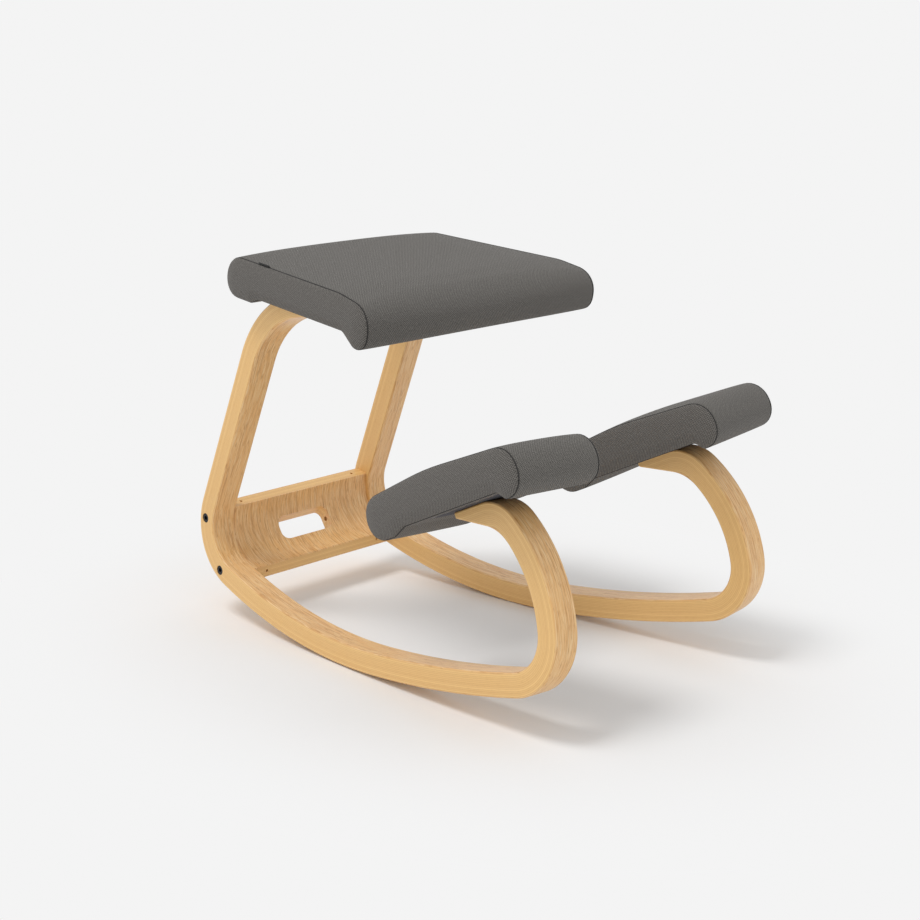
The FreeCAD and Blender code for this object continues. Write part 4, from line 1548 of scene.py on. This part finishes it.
class Upholstery:
    """The seat, both knee pads, their seams and the staples of their linings."""

    seam_rise = 0.35

    def __init__(self, woodwork: Woodwork) -> None:
        """Makes the cloths, the thread, the staples' steel and both trees."""
        self.woodwork = woodwork
        # The second colour of each cloth is the painted shade in the hollows between its threads
        self.wrap_cloth = Weave("grey_weave", (108, 105, 100), (46, 44, 41), (128, 124, 119)).make()
        # Painted shade: the side panels' cloth copies the wrap's, a touch darker, for the shade on the cushions' sides
        self.shaded_panel_cloth = Weave("grey_weave_side", (107, 103, 98), (46, 44, 41), (126, 122, 117)).make()
        # The thread is darker than the cloth: partly the real thread's colour, partly painted shade along the seams'
        # creases
        self.thread = Weave(
            "seam_thread", (44, 42, 41), (28, 27, 26), (58, 56, 54), pitch=0.9, relief=0.0001, mapped=False
        ).make()
        self.staple_steel = Steel("staple_steel", (168, 168, 166), (120, 120, 118), 1.0, 0.36).make()
        self.seam = seam_tree()
        self.staples = staple_tree()

    def cushion(self, sizes: CushionSizes, name: str, place: Matrix, nodes: Sequence[str]) -> bpy.types.Object:
        """Builds one cushion and its seams where it belongs.

        Args:
            sizes: The cushion's sizes.
            name: The new piece's name.
            place: From the cushion's frame to the chair's, in millimetres.
            nodes: The construction nodes that it stands for.

        Returns:
            The cushion.
        """
        builder = Cushion(sizes)
        piece, seams = builder.build_case()
        piece.name = name
        builder.inflate(piece)
        piece.data.materials.append(self.wrap_cloth)
        piece.data.materials.append(self.shaded_panel_cloth)
        finer = piece.modifiers.new("finer", "SUBSURF")
        finer.levels = finer.render_levels = 1
        settled(piece)
        metres = Matrix.Diagonal((MM, MM, MM, 1)) @ place @ Matrix.Diagonal((1 / MM, 1 / MM, 1 / MM, 1))
        piece.data.transform(metres)
        if place.determinant() < 0:
            piece.data.flip_normals()
        piece.data.shade_smooth()
        piece.vertex_groups.clear()
        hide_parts(*nodes)
        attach(piece, ROOT)
        for label, row in zip(("right", "left"), seams):
            line = [piece.data.vertices[i].co + piece.data.vertices[i].normal * self.seam_rise * MM for i in row]
            self.seam_line(f"{name}_{label}_seam", line)
        return piece

    def seam_line(self, name: str, points: Sequence[Vector]) -> bpy.types.Object:
        """Sews one seam along its crease."""
        count = len(points)
        piece = line_object(name, points, [(k, (k + 1) % count) for k in range(count)])
        run_tree(piece, self.seam, {"Thread": self.thread})
        piece.data.shade_smooth()
        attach(piece, ROOT)
        return piece

    def staple_row(
        self, name: str, sizes: CushionSizes, place: Matrix, spacing: float = 28.0, inset: float = 5.0
    ) -> bpy.types.Object:
        """Staples the lining's edge to the board, just inside the recess."""
        front = sizes.recess_front + sizes.opening_inset + inset
        rear = sizes.recess_rear - sizes.opening_inset - inset
        corners = []
        for y, sign in ((front, 1), (rear, 1), (rear, -1), (front, -1)):
            corners.append(Vector((sign * (float(sizes.half_width(y)) - sizes.skirt_width - inset), y, -0.35)))
        points, along = [], []
        for k in range(4):
            a, b = corners[k], corners[(k + 1) % 4]
            count = max(2, round((b - a).length / spacing))
            for i in range(1, count):
                points.append(a.lerp(b, i / count))
                along.append((b - a).normalized())
        piece = line_object(name, [place @ p * MM for p in points], [])
        turn = place.to_3x3()
        write_attribute(piece.data, "along", [turn @ v for v in along])
        write_attribute(piece.data, "normal", [turn @ Vector((0, 0, -1))] * len(points))
        run_tree(piece, self.staples, {"Steel": self.staple_steel})
        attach(piece, ROOT)
        return piece

    def build(self) -> list[bpy.types.Object]:
        """Builds everything that is sewn."""
        wood = self.woodwork
        names = ("foam", "cover")
        seat_nodes = ["seat_" + n for n in names] + ["seat_panel_left", "seat_panel_right"]
        made = [self.cushion(SEAT, "seat_cushion", wood.seat_frame(), seat_nodes)]
        made.append(self.staple_row("seat_staples", SEAT, wood.seat_frame()))
        for side in Side:
            label = side.name.lower()
            place = Matrix.Diagonal((side.value, 1, 1, 1)) @ wood.pad_frame()
            nodes = [f"{label}_pad_{n}" for n in (*names, "outer_panel", "inner_panel")]
            made.append(self.cushion(PAD, f"{label}_pad_cushion", place, nodes))
            made.append(self.staple_row(f"{label}_pad_staples", PAD, place))
        return made


# Small parts carried over from the construction model


class CarriedOver:
    """Finishes for the construction nodes that show as they are."""

    def __init__(self) -> None:
        """Makes one finish for each kind of node."""
        black = Steel("black_steel", (38, 38, 41), (78, 78, 82), 0.6, 0.34).make()
        plated = Steel("plated_steel", (176, 174, 168), (128, 126, 120), 1.0, 0.38).make()
        board = SheetWood("ply_board").make()
        dowel = SheetWood("dowel_wood", stretch=(90.0, 300.0, 300.0)).make()
        # For the lining and the tape, the second colour is the painted shade between the threads
        lining = Weave(
            "navy_lining", (26, 32, 48), (14, 17, 27), (36, 43, 62),
            pitch=1.1, relief=0.00015, roughness=0.85, mapped=False,
        ).make()
        tape = Weave(
            "black_tape", (22, 22, 22), (10, 10, 10), (34, 34, 34), pitch=0.8, relief=0.0001, mapped=False
        ).make()
        self.finishes = {
            "bolts": black, "screws": black, "tee_nuts": plated, "inserts": plated,
            "board": board, "dowels": dowel, "lining": lining, "tab": tape,
        }

    def dress(self) -> int:
        """Gives each shown node its finish and returns how many there are."""
        count = 0
        for name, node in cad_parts.items():
            finish = next((m for ending, m in self.finishes.items() if name.endswith(ending)), None)
            if finish is None:
                continue
            if not node.material_slots:
                node.data.materials.append(finish)
            for slot in node.material_slots:
                slot.material = finish
            count += 1
        return count


# Studio


@dataclass(frozen=True)
class Studio:
    """Plain pale floor, soft light and the photograph's camera."""

    ground: float = 0.904
    sky_light: float = 0.71
    sun_strength: float = 1.02
    sun_angle: float = 18.0
    sun_from: tuple[float, float, float] = (-0.7, 0.3, 1.8)
    oval: tuple[float, float, float] = (1.3, 1.0, 1.0)
    fade: tuple[float, float] = (0.36, 0.78)
    camera_at: tuple[float, float, float] = (-1.6590, -1.5924, 0.8416)
    camera_azimuth: float = -46.166
    camera_elevation: float = 14.408
    lens: float = 69.07

    def floor(self) -> bpy.types.Object:
        """Builds the floor, which fades into the ground's own colour away from the chair."""
        reach, level = 9.0, -0.0004
        corners = np.array([(x * reach, y * reach, level) for x, y in ((-1, -1), (1, -1), (1, 1), (-1, 1))])
        piece = new_mesh_object("floor", corners, [[0, 1, 2, 3]])
        material, make, shader = start_material("pale_floor")
        links = material.node_tree.links
        shader.inputs["Base Color"].default_value = (self.ground, self.ground, self.ground, 1)
        shader.inputs["Roughness"].default_value = 0.9
        shader.inputs["Specular IOR Level"].default_value = 0.0
        glow = make.add("ShaderNodeEmission", {"Color": (self.ground, self.ground, self.ground, 1)})
        place = make.add("ShaderNodeTexCoord").outputs["Object"]
        oval = make.add("ShaderNodeMapping", {"Vector": place, "Scale": self.oval}).outputs[0]
        distance = make.add("ShaderNodeVectorMath", {0: oval}, operation="LENGTH").outputs["Value"]
        share = make.ramp(distance, *self.fade)
        mixed = make.add("ShaderNodeMixShader", {0: share, 1: shader.outputs[0], 2: glow.outputs[0]})
        below = make.add("ShaderNodeNewGeometry").outputs["Backfacing"]
        clear = make.add("ShaderNodeBsdfTransparent")
        mixed = make.add("ShaderNodeMixShader", {0: below, 1: mixed.outputs[0], 2: clear.outputs[0]})
        output = next(n for n in material.node_tree.nodes if n.type == "OUTPUT_MATERIAL")
        links.new(mixed.outputs[0], output.inputs[0])
        piece.data.materials.append(material)
        return piece

    def light(self) -> None:
        """Adds the even sky and one large soft lamp."""
        world = bpy.data.worlds.new("studio")
        world.use_nodes = True
        bpy.context.scene.world = world
        make = TreeMaker(world.node_tree)
        shown = world.node_tree.nodes["Background"]
        shown.inputs[0].default_value = (1, 1, 1, 1)
        shown.inputs[1].default_value = self.sky_light
        seen = make.add("ShaderNodeBackground", {0: (1, 1, 1, 1), 1: self.ground})
        path = make.add("ShaderNodeLightPath")
        direct = make.math("MAXIMUM", path.outputs["Is Camera Ray"], path.outputs["Is Glossy Ray"])
        direct = make.math("MAXIMUM", direct, path.outputs["Is Transmission Ray"])
        mixed = make.add("ShaderNodeMixShader", {0: direct, 1: shown.outputs[0], 2: seen.outputs[0]})
        output = next(n for n in world.node_tree.nodes if n.type == "OUTPUT_WORLD")
        world.node_tree.links.new(mixed.outputs[0], output.inputs[0])
        lamp = bpy.data.lights.new("soft_sun", "SUN")
        lamp.energy = self.sun_strength
        lamp.angle = math.radians(self.sun_angle)
        sun = bpy.data.objects.new("soft_sun", lamp)
        bpy.context.scene.collection.objects.link(sun)
        sun.rotation_mode = "QUATERNION"
        sun.rotation_quaternion = Vector(self.sun_from).to_track_quat("Z", "Y")

    def camera(self) -> None:
        """Places the camera as it stood for the photograph."""
        data = bpy.data.cameras.new("camera")
        data.sensor_width = 36.0
        data.lens = self.lens
        data.clip_end = 100.0
        camera = bpy.data.objects.new("camera", data)
        bpy.context.scene.collection.objects.link(camera)
        azimuth, elevation = math.radians(self.camera_azimuth), math.radians(self.camera_elevation)
        back = Vector((
            math.sin(azimuth) * math.cos(elevation),
            -math.cos(azimuth) * math.cos(elevation),
            math.sin(elevation),
        ))
        right = Vector((0, 0, 1)).cross(back).normalized()
        up = back.cross(right)
        turn = Matrix((right, up, back)).transposed().to_4x4()
        camera.matrix_world = Matrix.Translation(self.camera_at) @ turn
        bpy.context.scene.camera = camera

    def build(self) -> None:
        """Builds the studio."""
        self.floor()
        self.light()
        self.camera()
        bpy.context.scene.view_settings.view_transform = "Standard"


def main() -> None:
    """Builds the chair's looks piece by piece."""
    logging.basicConfig(level=logging.INFO, format="%(name)s: %(message)s")
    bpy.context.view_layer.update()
    woodwork = Woodwork(RunnerSizes())
    LOG.info("wood stands %s mm from its own frame", [round(v, 2) for v in woodwork.shift])
    for side in Side:
        LOG.info("%s built", woodwork.runner(side).name)
    LOG.info("%s built", Brace(BraceSizes(), woodwork).build().name)
    for piece in Upholstery(woodwork).build():
        LOG.info("%s built with %d faces", piece.name, len(piece.data.polygons))
    LOG.info("%d construction nodes dressed", CarriedOver().dress())
    Studio().build()


if __name__ == "__main__":
    main()
